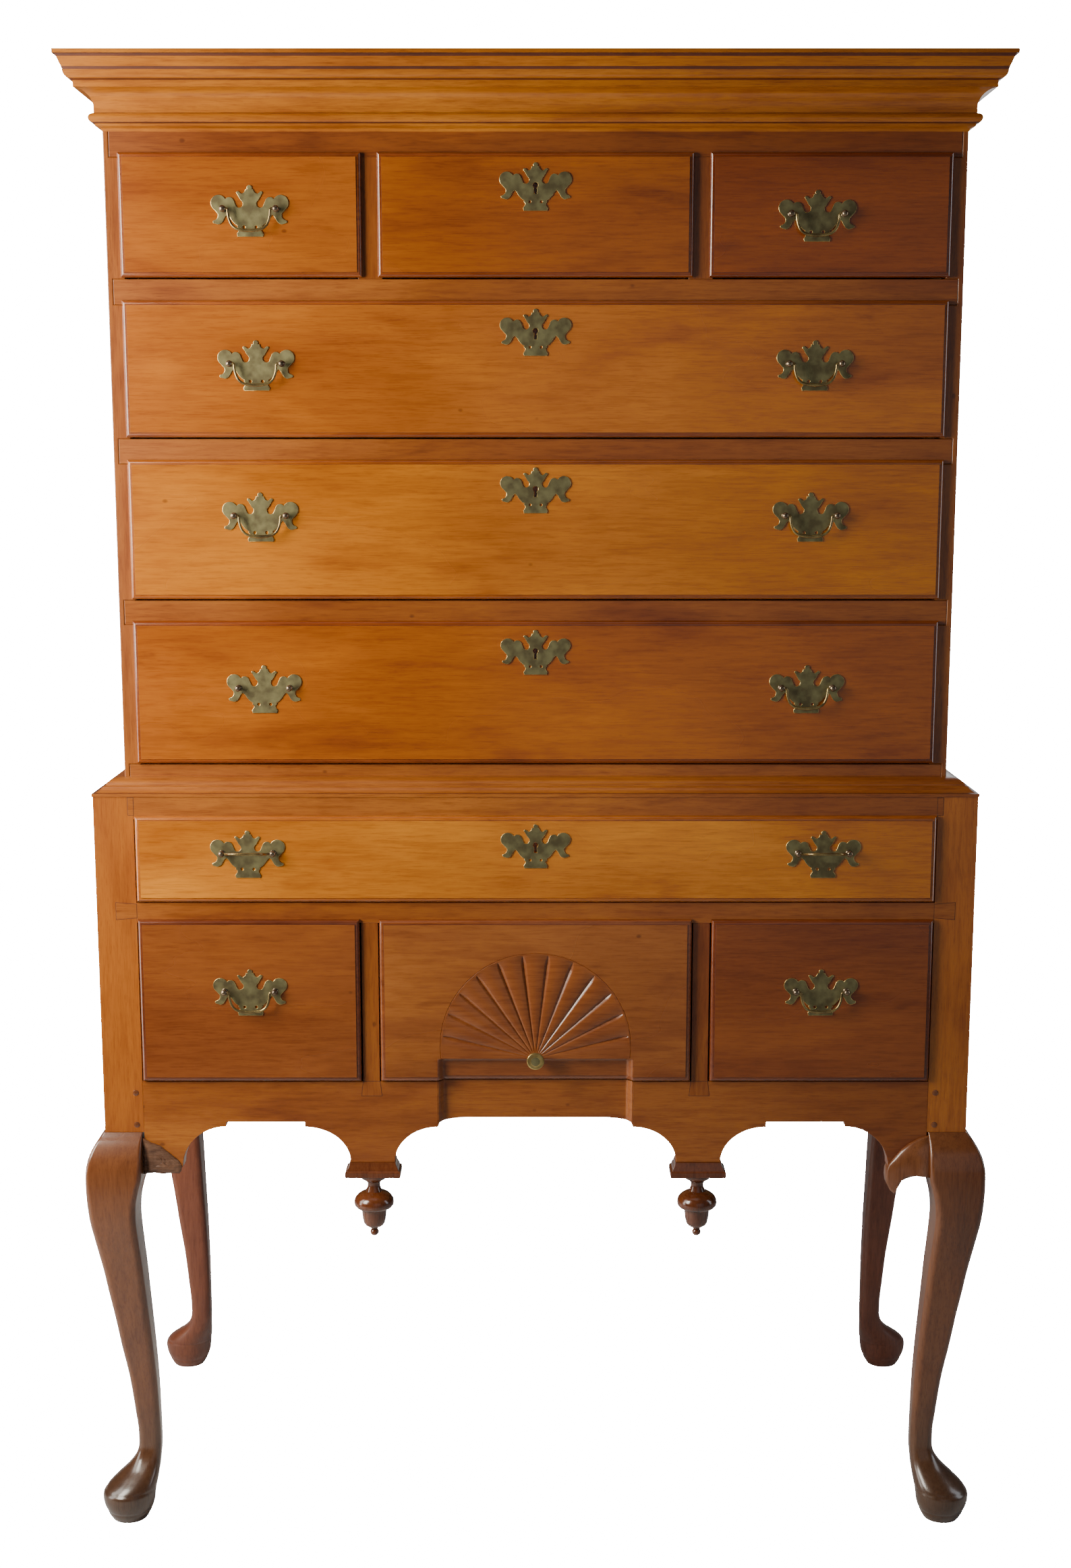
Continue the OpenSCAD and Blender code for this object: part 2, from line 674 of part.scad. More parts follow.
module bail(b) {
    d = drawers[b[1]];
    lift = raised(d) ? raised_lift : 0;
    color(BRASS) placed()
        translate([d_pulls(d)[b[2]], d_face(d) - proud - pull_y, d_pull_z(d)])
            rotate([-lift, 0, 0]) bail_rod();
}

upper_sides();
upper_boards();
upper_back();
upper_rails_and_dividers();
upper_runners();
cornice();
waist_moulding();
lower_sides();
lower_top();
lower_back();
lower_rails_and_dividers();
skirt();
lower_runners();
leg_front_left();
leg_front_right();
legs_rear();
knee_brackets();
pendants();
pegs();
for (d = drawers) {
    drawer_front(d);
    drawer_box(d);
    drawer_brass(d);
}
for (b = bails) bail(b);
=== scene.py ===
"""Tall chest of drawers: a two-part high chest in varnished maple with brass pulls.

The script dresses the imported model, piece by piece, in the order in which such a chest is
put together: upper case, mouldings, lower case, legs, drawers, brasses.
"""
import json
import math

import bpy
import numpy as np
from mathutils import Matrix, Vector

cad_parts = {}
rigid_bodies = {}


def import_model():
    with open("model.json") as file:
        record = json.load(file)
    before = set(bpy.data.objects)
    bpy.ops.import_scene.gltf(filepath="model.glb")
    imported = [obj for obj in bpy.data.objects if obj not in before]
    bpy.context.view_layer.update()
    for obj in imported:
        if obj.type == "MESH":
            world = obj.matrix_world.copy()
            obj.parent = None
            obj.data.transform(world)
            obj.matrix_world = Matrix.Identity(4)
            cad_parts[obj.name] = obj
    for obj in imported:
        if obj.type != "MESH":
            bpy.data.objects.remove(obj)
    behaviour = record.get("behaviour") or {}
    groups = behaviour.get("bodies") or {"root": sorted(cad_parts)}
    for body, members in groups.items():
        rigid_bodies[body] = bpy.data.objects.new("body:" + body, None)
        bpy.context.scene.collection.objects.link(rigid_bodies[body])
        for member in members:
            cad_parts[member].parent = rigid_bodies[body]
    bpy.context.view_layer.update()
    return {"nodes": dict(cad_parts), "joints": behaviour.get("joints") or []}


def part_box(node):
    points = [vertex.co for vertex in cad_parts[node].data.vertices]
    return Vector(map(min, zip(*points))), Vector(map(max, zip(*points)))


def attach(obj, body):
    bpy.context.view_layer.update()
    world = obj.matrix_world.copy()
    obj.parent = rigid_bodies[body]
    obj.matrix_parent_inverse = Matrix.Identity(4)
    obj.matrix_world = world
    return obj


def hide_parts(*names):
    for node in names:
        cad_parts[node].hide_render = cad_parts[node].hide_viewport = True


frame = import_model()
MM = 0.001

# ---- Camera and studio ----
# The chest is seen square on from the front, from a little above its middle, on a pale
# floor. A soft light stands close on the left, and weaker ones lift the front, the right
# side, the top and the back.


def in_scene(name, data):
    """A new object with that data, linked to the scene."""
    made = bpy.data.objects.new(name, data)
    bpy.context.scene.collection.objects.link(made)
    return made


front_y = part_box("lower_rails_and_dividers")[0][1]
eye_distance, eye_height, tilt_down = 2.323, 1.2376, 10.26
camera_data = bpy.data.cameras.new("camera")
camera_data.sensor_width = 36
camera_data.lens = 48.35
camera_data.shift_y = 0.038
camera = in_scene("camera", camera_data)
camera.location = (0, front_y - eye_distance, eye_height)
camera.rotation_euler = (math.radians(90 - tilt_down), 0, 0)
bpy.context.scene.camera = camera


def soft_light(name, place, target, size, power, colour=(1, 1, 1)):
    """A rectangular soft light at a place, turned to face a target."""
    data = bpy.data.lights.new(name, "AREA")
    data.shape = "RECTANGLE"
    data.size, data.size_y = size
    data.energy = power
    data.color = colour
    lamp = in_scene(name, data)
    lamp.location = place
    away = np.subtract(place, target)
    lamp.rotation_euler = (
        math.atan2(math.hypot(away[0], away[1]), away[2]), 0, math.atan2(away[1], away[0]) + math.pi / 2)


soft_light("key_light", (-1.2, -0.87, 1.38), (-0.8, -0.2, 1.15), (0.55, 1.0), 40, (1, 0.95, 0.84))
soft_light("edge_light", (-1.75, -0.42, 1.1), (-0.4, -0.2, 1.0), (0.5, 1.9), 20, (1, 0.96, 0.88))
soft_light("fill_light", (0.8, -2.6, 1.0), (0.3, -0.2, 0.8), (1.9, 1.8), 2.6, (0.85, 0.92, 1))
soft_light("right_light", (2.0, -0.3, 1.2), (0.5, 0, 1.1), (0.6, 1.7), 9, (0.86, 0.93, 1))
soft_light("top_light", (-0.3, -0.5, 3.0), (0, 0, 1.0), (1.6, 1.0), 2)
soft_light("back_light", (0.4, 2.4, 1.8), (0, 0, 0.9), (2.0, 1.6), 14)


def seen_white(tree, shader, emitter, strength=60):
    """The camera sees plain white light there, and every other ray sees the shader."""
    white = tree.nodes.new(emitter)
    white.inputs["Strength"].default_value = strength
    ray = tree.nodes.new("ShaderNodeLightPath")
    either = tree.nodes.new("ShaderNodeMixShader")
    out = next(n for n in tree.nodes if n.type in ("OUTPUT_MATERIAL", "OUTPUT_WORLD"))
    tree.links.new(ray.outputs["Is Camera Ray"], either.inputs[0])
    tree.links.new(shader.outputs[0], either.inputs[1])
    tree.links.new(white.outputs[0], either.inputs[2])
    tree.links.new(either.outputs[0], out.inputs["Surface"])


world = bpy.data.worlds.new("studio")
bpy.context.scene.world = world
world.use_nodes = True
room = world.node_tree.nodes["Background"]
room.inputs["Color"].default_value = (1, 0.97, 0.94, 1)
room.inputs["Strength"].default_value = 0.06
seen_white(world.node_tree, room, "ShaderNodeBackground")

floor_mesh = bpy.data.meshes.new("floor")
floor_mesh.from_pydata([(-9, -9, 0), (9, -9, 0), (9, 9, 0), (-9, 9, 0)], [], [(0, 1, 2, 3)])
floor = in_scene("floor", floor_mesh)
floor_paint = bpy.data.materials.new("floor_paint")
floor_paint.use_nodes = True
floor_shader = floor_paint.node_tree.nodes["Principled BSDF"]
floor_shader.inputs["Base Color"].default_value = (0.6, 0.6, 0.6, 1)
floor_shader.inputs["Roughness"].default_value = 0.7
seen_white(floor_paint.node_tree, floor_shader, "ShaderNodeEmission")
floor_mesh.materials.append(floor_paint)


# ---- Upper case: side boards ----
# Two wide maple boards stand at the sides. Each drawer rail is let into their front edges,
# and their varnish has gone honey-brown.


class Paint:
    """A node material, with short ways to add nodes, set their values and link their inputs."""

    def __init__(self, name):
        self.material = bpy.data.materials.new(name)
        self.material.use_nodes = True
        self.tree = self.material.node_tree
        self.shader = self.tree.nodes["Principled BSDF"]
        self.place = self.node("TexCoord").outputs["Object"]

    def node(self, kind, links=None, **values):
        made = self.tree.nodes.new("ShaderNode" + kind)
        for key, value in values.items():
            if key in made.inputs:
                made.inputs[key].default_value = value
            else:
                setattr(made, key, value)
        self.link(made, links or {})
        return made

    def link(self, made, links):
        for key, socket in links.items():
            self.tree.links.new(socket, made.inputs[key])

    def stretched(self, scale, offset=(0, 0, 0)):
        return self.node("Mapping", {"Vector": self.place}, Scale=scale, Location=offset).outputs[0]

    def noise(self, vector, scale, detail=2.0, roughness=0.5, distortion=0.0):
        return self.node("TexNoise", {"Vector": vector}, Scale=scale, Detail=detail, Roughness=roughness,
                         Distortion=distortion).outputs["Fac"]

    def ramp(self, value, stops, easing="EASE"):
        made = self.node("ValToRGB", {"Fac": value})
        made.color_ramp.interpolation = easing
        elements = made.color_ramp.elements
        for k, (at, colour) in enumerate(stops):
            element = elements[k] if k < 2 else elements.new(at)
            element.position = at
            element.color = (*colour, 1)
        return made.outputs["Color"]

    def multiply(self, colour, by, amount):
        """A Mix node's inputs 6 and 7 and its output 2 are colours."""
        return self.node("Mix", {6: colour, 7: by}, data_type="RGBA", blend_type="MULTIPLY",
                         Factor=amount).outputs[2]

    def bump(self, height, strength, distance):
        made = self.node("Bump", {"Height": height}, Strength=strength, Distance=distance)
        self.link(self.shader, {"Normal": made.outputs[0]})


def wood(name, grain, pale, deep, dark=(0.13, 0.04, 0.02), rough=0.28, coat=0.35, streak=0.55, blotch=1.0,
         shift=0.0, low=None):
    """Old wood, with its grain along one axis (0, 1 or 2).

    Colour runs from deep to pale by clouds that are four times longer along the grain than
    across it. Layers then darken it where their value is low: wide shades, fine streaks and
    pores along the grain, small round marks of the dark colour around cell centres, and long
    smudges. Streaks and pores are also the height of the bump. A low tint, as painted shade,
    darkens the wood from 20 cm above the floor down.
    """
    paint = Paint(name)

    def along(stretch, offset):
        scale = [1, 1, 1]
        scale[grain] = stretch
        return paint.stretched(scale, offset)

    clouds = paint.noise(along(0.26, (3 + shift, 5, 7)), 20 * blotch, 5, 0.55, 0.3)
    wide = paint.noise(along(0.4, (1, 2 + shift, 3)), 4.5, 3, 0.5, 0.5)
    streaks = paint.noise(along(0.07, (0, 0, shift)), 260, 5, 0.6, 0.2)
    pores = paint.noise(along(0.05, (9, 9, 9)), 900, 3, 0.7)
    cells = paint.node("TexVoronoi", {"Vector": along(0.7, (shift, 0, 0))}, Scale=17.0)
    smudge = paint.noise(along(0.16, (2, shift, 8)), 26, 4, 0.6, 1.2)
    brighter, speck = 1.08, 0.5
    pale, deep = [brighter * c for c in pale], [brighter * c for c in deep]
    middle = [0.55 * a + 0.45 * b for a, b in zip(pale, deep)]
    base = paint.ramp(clouds, [(0.26, deep), (0.5, middle), (0.76, pale)])
    layers = [(wide, 0.3, (0.7, 0.6, 0.53), 0.64, 0.85),
              (streaks, 0.3, (0.62, 0.48, 0.36), 0.6, streak),
              (pores, 0.36, (0.6, 0.48, 0.4), 0.5, streak),
              (cells.outputs["Distance"], 0.02, dark, 0.05, speck),
              (smudge, 0.24, (0.45, 0.32, 0.25), 0.38, speck)]
    if low:
        height = paint.node("SeparateXYZ", {0: paint.place}).outputs["Z"]
        layers.append((height, 0.02, low, 0.2, 1.0))
    for value, start, tint, end, amount in layers:
        base = paint.multiply(base, paint.ramp(value, [(start, tint), (end, (1, 1, 1))]), amount)
    dull = paint.node("MapRange", {"Value": wide}, **{"To Min": rough - 0.06, "To Max": rough + 0.12})
    paint.link(paint.shader, {"Base Color": base, "Roughness": dull.outputs[0]})
    grooves = paint.node("Mix", {2: streaks, 3: pores}, data_type="FLOAT", Factor=0.35)
    paint.bump(grooves.outputs[0], 0.12, 0.0006)
    for key, value in (("Coat Weight", coat), ("Coat Roughness", 0.16), ("IOR", 1.5)):
        paint.shader.inputs[key].default_value = value
    return paint.material


case_wood = [wood(f"case_maple_{'xyz'[k]}", k, (0.4, 0.13, 0.018), (0.225, 0.058, 0.011)) for k in range(3)]


def piece(name, points, faces, materials, body, slot, nodes=(), marks=None, crease=32):
    """A mesh object from points in metres, smooth up to a crease angle, riding on a body.

    marks gives each face's material number."""
    mesh = bpy.data.meshes.new(name)
    mesh.from_pydata(np.asarray(points, float).tolist(), [], [list(map(int, face)) for face in faces])
    for paint in materials:
        mesh.materials.append(paint)
    if marks is not None:
        mesh.polygons.foreach_set("material_index", np.asarray(marks, np.int32))
    mesh.shade_smooth()
    mesh.set_sharp_from_angle(angle=math.radians(crease))
    mesh.update()
    made = in_scene(name, mesh)
    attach(made, body)
    if nodes:
        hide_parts(*nodes)
    return made


def eased(made, width):
    """Rounds a piece's arrises with a small two-step bevel."""
    bevel = made.modifiers.new("eased", "BEVEL")
    bevel.width = width
    bevel.segments = 2
    bevel.limit_method = "ANGLE"
    bevel.angle_limit = math.radians(40)
    bevel.harden_normals = True
    return made


def loft(rings, capped=True):
    """Points and faces of a skin over rings with the same number of points each."""
    rings = np.asarray(rings, float)
    count, around = rings.shape[:2]
    k = np.arange(around)
    row = np.arange(count - 1)[:, None] * around
    after = (k + 1) % around
    faces = np.stack([row + k, row + after, row + around + after, row + around + k], -1)
    faces = faces.reshape(-1, 4).tolist()
    if capped:
        faces += [k[::-1].tolist(), (k + (count - 1) * around).tolist()]
    return rings.reshape(-1, 3), faces


def prism(outline, axis, low, high):
    """Points and faces of a flat outline carried along an axis from low to high."""
    return loft([np.insert(np.asarray(outline, float), axis, at, axis=1) for at in (low, high)])


def box_of(low, high):
    """Points and faces of a board between two opposite corners."""
    corners = [(low[0], low[1]), (high[0], low[1]), (high[0], high[1]), (low[0], high[1])]
    return prism(corners, 2, low[2], high[2])


def joined(parts):
    """Several (points, faces) as one."""
    points, faces, start = [], [], 0
    for some, their in parts:
        points.append(some)
        faces += [[start + i for i in face] for face in their]
        start += len(some)
    return np.concatenate(points), faces


def mirrored(part):
    """A part and its mirror image across the chest's middle."""
    points, faces = part
    other = points * np.array([-1, 1, 1])
    return joined([part, (other, [face[::-1] for face in faces])])


def boards(name, parts, paint, nodes=(), slot="maple_case", ease=0.8 * MM):
    """Sawn boards of the case, with eased arrises."""
    points, faces = joined(parts)
    return eased(piece(name, points, faces, [paint], "case", slot, nodes), ease)


LIP, REVEAL = 4.5 * MM, 1.5 * MM
front_box = {name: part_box(name + "_front") for name in (
    "lower_long", "middle_long", "upper_long", "top_left", "top_centre", "top_right",
    "base_long", "base_left", "base_fan", "base_right")}


def rail_between(below, above):
    """Underside and upper edge of the rail between two drawers."""
    return front_box[below][1][2] - LIP, front_box[above][0][2] - REVEAL


sides_low, sides_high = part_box("upper_sides")
rails_low, rails_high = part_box("upper_rails_and_dividers")
boards_low, boards_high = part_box("upper_boards")
upper_y, rail_back, back_y = rails_low[1], rails_high[1], sides_high[1]
side_out, side_in, rail_end = sides_high[0], sides_high[0] - 20 * MM, 0.458
upper_rails = [
    (sides_low[2], front_box["lower_long"][0][2] - REVEAL), rail_between("lower_long", "middle_long"),
    rail_between("middle_long", "upper_long"), rail_between("upper_long", "top_left")]
frieze_z, side_top = front_box["top_left"][1][2] - LIP, sides_high[2]

comb = [(side_out, sides_low[2]), (side_out, side_top), (rail_end, side_top), (rail_end, frieze_z),
        (side_in, frieze_z)]
for under, over in upper_rails[::-1]:
    comb += [(side_in, over), (rail_end, over), (rail_end, under), (side_in, under)]
comb = comb[:-1]
behind = [box_of((side_in, rail_back, under), (rail_end, back_y, over))
          for under, over in upper_rails + [(frieze_z, side_top)]]
boards("upper_side_boards", [mirrored(prism(comb, 1, upper_y, back_y)), *map(mirrored, behind)],
       case_wood[2], ["upper_sides"], ease=1.4 * MM)

# ---- Upper case: rails, dividers and boards ----
# Maple rails are let into the sides' front edges between the drawers, and two short
# dividers part the top row. Behind them are pine boards, a nailed back and the runners.
boards("upper_rails", [box_of((-rail_end + 0.1 * MM, upper_y + 0.15 * MM, under + 0.1 * MM),
                              (rail_end - 0.1 * MM, rail_back - 0.2 * MM, over - 0.1 * MM))
                       for under, over in upper_rails],
       case_wood[0], ["upper_rails_and_dividers"], ease=0.5 * MM)
# The frieze takes a darker wood than the case: painted shade under the cornice.
frieze_shade_wood = wood("frieze_maple", 0, (0.29, 0.079, 0.009), (0.16, 0.038, 0.006))
boards("frieze_board",
       [box_of((-rail_end + 0.2 * MM, upper_y, frieze_z),
               (rail_end - 0.2 * MM, rail_back - 0.2 * MM, side_top))],
       frieze_shade_wood, ease=0.6 * MM)
divider_x, divider_half = 179 * MM, 13 * MM
boards("top_dividers",
       [mirrored(box_of((divider_x - divider_half, upper_y + 0.1 * MM, upper_rails[3][1]),
                        (divider_x + divider_half, rail_back, frieze_z)))],
       case_wood[2], ease=0.4 * MM)
pine = [wood(f"pine_{'xyz'[k]}", k, (0.56, 0.34, 0.15), (0.38, 0.19, 0.075), (0.2, 0.1, 0.05),
             rough=0.62, coat=0.0, streak=0.5) for k in range(2)]
runner_back, runner_t = back_y - 12 * MM, 16 * MM
boards("top_and_bottom_boards",
       [box_of((boards_low[0], upper_y, side_top), boards_high),
        box_of((-side_in, rail_back, sides_low[2]), (side_in, runner_back, sides_low[2] + runner_t))],
       pine[0], ["upper_boards"], "pine_inside")
back_lines = np.linspace(sides_low[2], side_top, 5)
boards("upper_back_boards",
       [box_of((-side_in, runner_back, low + 0.4 * MM), (side_in, back_y, high - 0.4 * MM))
        for low, high in zip(back_lines[:-1], back_lines[1:])],
       pine[0], ["upper_back"], "pine_inside")
boards("upper_runner_strips",
       [mirrored(box_of((side_in - 22 * MM, rail_back, over - runner_t), (side_in, runner_back, over)))
        for _, over in upper_rails]
       + [mirrored(box_of((divider_x - 33 * MM, rail_back, upper_rails[3][1] - runner_t),
                          (divider_x + 33 * MM, runner_back, upper_rails[3][1])))],
       pine[1], ["upper_runners"], "pine_inside")

# ---- Cornice and waist moulding ----
# Both were worked with moulding planes in long maple strips, mitred at the front corners.
# The cornice is nailed to the upper case, and the waist moulding to the lower one.


def arc(cx, cz, rx, rz, start, end, count=12):
    """Points of an arc of an ellipse, in millimetres, from one angle to another."""
    turn = np.radians(np.linspace(start, end, count + 1))
    return list(zip(cx + rx * np.cos(turn), cz + rz * np.sin(turn)))


# Painted shade: a dark copy of the wood for the mouldings' quirks and the step round each front's field.
crease_shade_wood = wood("dark_line", 0, (0.15, 0.036, 0.01), (0.07, 0.018, 0.007), (0.05, 0.02, 0.01), rough=0.4)


def moulding(name, profile, y_front, y_back, half, paints, node, quirks):
    """A profile of (distance out, height) run along the front and both sides.

    The point at distance p lies on the line y = front - p between x = -(half + p) and
    half + p, and on x = half + p from there to the back, so the lengths meet in mitres.
    The quirks, which are ranges of height in millimetres, are painted dark as shade.
    """
    out, high = (np.asarray(profile) * MM).T
    zeros = np.zeros_like(out)
    left = np.stack([-half - out, y_front - out, high], -1)
    right = np.stack([half + out, y_front - out, high], -1)
    hair = np.array([0, 0.12 * MM, 0])
    back = np.stack([half + out, zeros + y_back, high], -1)
    front_part = loft([left, right])
    side_part = mirrored(loft([right + hair, back]))
    points, faces = joined([front_part, side_part])
    marks = []
    for number, face in enumerate(faces):
        level = points[face, 2].mean() / MM
        # Faces in a quirk take the painted shade.
        dark = len(face) == 4 and any(low < level < top_at for low, top_at in quirks)
        marks.append(2 if dark else int(number >= len(front_part[1])))
    return piece(name, points, faces, [*paints, crease_shade_wood], "case", "maple_case", [node], marks, crease=24)


cornice_wood = [wood(f"cornice_maple_{'xy'[k]}", k, (0.53, 0.19, 0.013), (0.31, 0.084, 0.008))
                for k in range(2)]
top = boards_high[2] / MM
moulding("cornice_moulding",
         [(0, top), (42, top), (42, top - 4.5), (39.5, top - 4.5), (38.3, top - 7.2), (35.8, top - 13.5),
          (34.3, top - 16.6), (33.4, top - 19.5)]
         + arc(27.5, top - 19.5, 5.9, 8, 0, -90) + [(24.5, top - 29), (24.5, top - 35.7)]
         + arc(24.5, top - 53.2, 17.5, 17.5, 90, 180, 16) + [(7, top - 59.5)]
         + arc(7.2, top - 64.8, 5.2, 5.2, 75, -75, 14)
         + [(6.3, top - 70), (6.3, top - 72.5), (1.2, top - 74.5), (0, top - 77.5)],
         upper_y, back_y, side_out, cornice_wood, "cornice",
         [(top - low, top - high)
          for low, high in ((6.5, 4.4), (19.6, 17.6), (29.5, 27.6), (60, 56.6), (71, 69))])
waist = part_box("waist_moulding")[0][2] / MM
moulding("waist_mould",
         [(0, waist), (31.7, waist), (31.7, waist + 3.5)] + arc(31.7, waist + 16, 12.5, 12.5, 270, 209)
         + arc(0, waist + 11, 18, 8, 0, 90),
         upper_y, back_y, side_out, case_wood[:2], "waist_moulding", [(waist + 2.9, waist + 4.1)])

# ---- Lower case: sides, rails and boards ----
# The side boards are tenoned into the leg posts, and their lower edge ends in a lobe at
# each leg. Rails and dividers of maple frame the drawers, and the rails' dovetails show.
side_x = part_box("lower_sides")[1][0]
rail_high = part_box("lower_rails_and_dividers")[1]
leg_low, leg_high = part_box("leg_front_left")
knee_out = 21.5 * MM
post_x, post_in = -leg_low[0] - knee_out, rail_high[0]
post_w = post_x - post_in
case_back = front_y + 460 * MM
lower_top_z = leg_high[2]
edge_y = np.array(
    [(post_w / MM, 870), (post_w / MM, 438)] + arc(133.5, 438, 50.5, 48.5, 180, 90) + [(133.5, 492)]
    + [(326.5, 492)] + arc(326.5, 438, 50.5, 48.5, 90, 0) + [(415, 438), (415, 870)]) * MM
edge_y[:, 0] += front_y
inner_x = side_x - 18 * MM
eased(piece("lower_side_boards", *mirrored(prism(edge_y, 0, inner_x, side_x - 0.6 * MM)), [case_wood[1]],
            "case", "maple_case", ["lower_sides"]), 0.6 * MM)

skirt_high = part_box("skirt")[1]
mid_rail = rail_between("base_left", "base_long")
top_rail = (front_box["base_long"][1][2] - LIP, lower_top_z)
base_divider = 187.5 * MM


def let_in(corners, grow=0.0):
    """A let-in end, nearly flush. Grown and set deeper, it is the dark joint round it."""
    corners = np.array(corners)
    middle = corners.mean(0)
    corners = corners + np.sign(corners - middle) * grow
    return prism(corners, 1, front_y - (0.06 if grow else 0.13) * MM, front_y + 4 * MM)


def dovetail(x0, x1, z0, z1, spread):
    """Corners of a dovetail's flat end, wider at x1 by spread on each side."""
    return [(x0, z0), (x1, z0 - spread), (x1, z1 + spread), (x0, z1)]


boards("lower_rails",
       [box_of((-post_in, front_y, mid_rail[0]), (post_in, rail_high[1], mid_rail[1])),
        box_of((-post_in, front_y, top_rail[0]), (post_in, rail_high[1], top_rail[1]))],
       case_wood[0], ["lower_rails_and_dividers"], ease=0.5 * MM)
half_t = 9.5 * MM
foot = [(base_divider - half_t, skirt_high[2]), (base_divider + half_t, skirt_high[2]),
        (base_divider + half_t + 2 * MM, skirt_high[2] - 17 * MM),
        (base_divider - half_t - 2 * MM, skirt_high[2] - 17 * MM)]
tail_start = post_in - 0.1 * MM
tail_ends = [dovetail(tail_start, post_in + 23 * MM, mid_rail[0] + 6 * MM, mid_rail[1] - 2 * MM, 2 * MM),
             dovetail(tail_start, post_in + 6 * MM, top_rail[0] + 5 * MM, top_rail[1] - 1 * MM, 0)]
joint_dark = wood("joint_dirt", 0, (0.07, 0.02, 0.008), (0.04, 0.012, 0.006), (0.03, 0.01, 0.005), rough=0.5,
                  coat=0.0)
boards("rail_dovetails", [mirrored(let_in(c)) for c in tail_ends], case_wood[0], ease=0.1 * MM)
boards("divider_feet", [mirrored(let_in(foot))], case_wood[2], ease=0.1 * MM)
boards("joint_lines", [mirrored(let_in(c, 0.5 * MM)) for c in [*tail_ends, foot]], joint_dark,
       ease=0.01 * MM)
boards("lower_dividers",
       [mirrored(box_of((base_divider - half_t, front_y + 0.1 * MM, skirt_high[2]),
                        (base_divider + half_t, rail_high[1], mid_rail[0])))],
       case_wood[2], ease=0.4 * MM)
for name in ("lower_top", "lower_back"):
    boards(f"{name}_board", [box_of(*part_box(name))], pine[0], [name], "pine_inside")
boards("lower_runner_strips",
       [mirrored(box_of((inner_x - 50 * MM, front_y + post_w, over - runner_t),
                        (inner_x, case_back - post_w, over))) for over in (skirt_high[2], mid_rail[1])]
       + [mirrored(box_of((base_divider - 30 * MM, rail_high[1], skirt_high[2] - runner_t),
                          (base_divider + 30 * MM, case_back - 16 * MM, skirt_high[2])))],
       pine[1], ["lower_runners"], "pine_inside")

# ---- Skirt ----
# One maple board, tenoned into the posts, is sawn to a raised flat and two drops. Its
# middle stretch is cut back by 8 mm, with a cove at each end.
middle_x, cut_back, cove_w = 112.0, 8.0, 9.0
half_edge = (arc(middle_x, 444, 50, 42, 90, 0) + arc(265, 444, 52, 42, 180, 90)
             + [(265, 492), (355, 492)] + arc(355.5, 438, 51, 48.5, 90, 0) + [(post_in / MM, 430)])
side_part = [(middle_x, skirt_high[2] / MM)] + half_edge + [(post_in / MM, skirt_high[2] / MM)]


def cut_depth(x):
    """Depth of the cut-back in the face at x: 0 outside, then half a cosine wave, then 8 mm."""
    into = np.clip((middle_x - np.abs(x)) / cove_w, 0, 1)
    return cut_back * (1 - np.cos(np.pi * into)) / 2


cut_x = np.concatenate([np.linspace(-middle_x, cove_w - middle_x, 17), np.linspace(-100, 100, 31),
                        np.linspace(middle_x - cove_w, middle_x, 17)])
cut_z = np.interp(np.abs(cut_x), [0, 84, 97, 110, 112], [495, 495, 493.5, 491, 486])
flat_top, deep = cut_x * 0 + skirt_high[2] / MM, cut_x * 0 + 22
rings = np.array([(cut_x, cut_depth(cut_x), cut_z), (cut_x, cut_depth(cut_x), flat_top),
                  (cut_x, deep, flat_top), (cut_x, deep, cut_z)]).transpose(2, 0, 1) * MM
rings[..., 1] += front_y
board = joined([mirrored(prism(np.array(side_part) * MM, 1, front_y, front_y + 22 * MM)), loft(rings)])
eased(piece("skirt_board", *board, [case_wood[0]], "case", "maple_case", ["skirt"]), 0.7 * MM)

# ---- Legs ----
# Each leg is one thick piece of maple. Its top is the case's square post, and below the
# skirt it is sawn and rasped to a cabriole curve that ends in a round pad foot.
leg_rows = np.array([  # height, outer face, inner face and corner radius, in millimetres
    (480, -1, 43.5, 1), (476.5, -3.6, 43, 1.8), (471, -8.5, 43, 3), (460, -15, 43, 4), (444, -20, 43, 5),
    (428, -21.3, 42.5, 6), (415, -21.5, 39, 7), (400, -21.0, 35.5, 7.5), (381, -19.5, 34, 8),
    (348, -14, 35.5, 8), (315, -8, 38, 8), (282, -3, 40, 8), (257, 1, 41.5, 8), (215, 7, 44, 8),
    (173, 13.5, 46, 8), (130, 18, 47, 8), (96, 20.5, 47.5, 9), (78, 19.6, 47.3, 9.5), (67, 15, 46.5, 12),
    (58, 7, 46, 17), (49.5, -3.5, 45, 22.5), (41, -13.5, 43.8, 28), (34, -19, 42.6, 30.7),
    (28, -20, 41.9, 30.9), (21, -19.2, 41, 30), (14, -17, 39, 28), (5, -13, 35, 24), (0, -10, 32, 21)])[::-1]


def smooth_between(at, known_at, known):
    """Cubic through known values whose slope at each is the mean of its neighbours' slopes."""
    slope = np.gradient(known, known_at)
    k = np.clip(np.searchsorted(known_at, at, side="right") - 1, 0, len(known_at) - 2)
    step = known_at[k + 1] - known_at[k]
    t = (at - known_at[k]) / step
    return ((2 * t ** 3 - 3 * t ** 2 + 1) * known[k] + (t ** 3 - 2 * t ** 2 + t) * step * slope[k]
            + (3 * t ** 2 - 2 * t ** 3) * known[k + 1] + (t ** 3 - t ** 2) * step * slope[k + 1])


def in_corner(part, right, back):
    """Takes a part made at the front left corner of the case to one of its four corners."""
    points, faces = part
    points = points + np.array([-post_x, 0, 0])
    points[:, 1] = case_back - points[:, 1] if back else front_y + points[:, 1]
    if right:
        points[:, 0] *= -1
    return points, faces


post_foot = 480.2 * MM


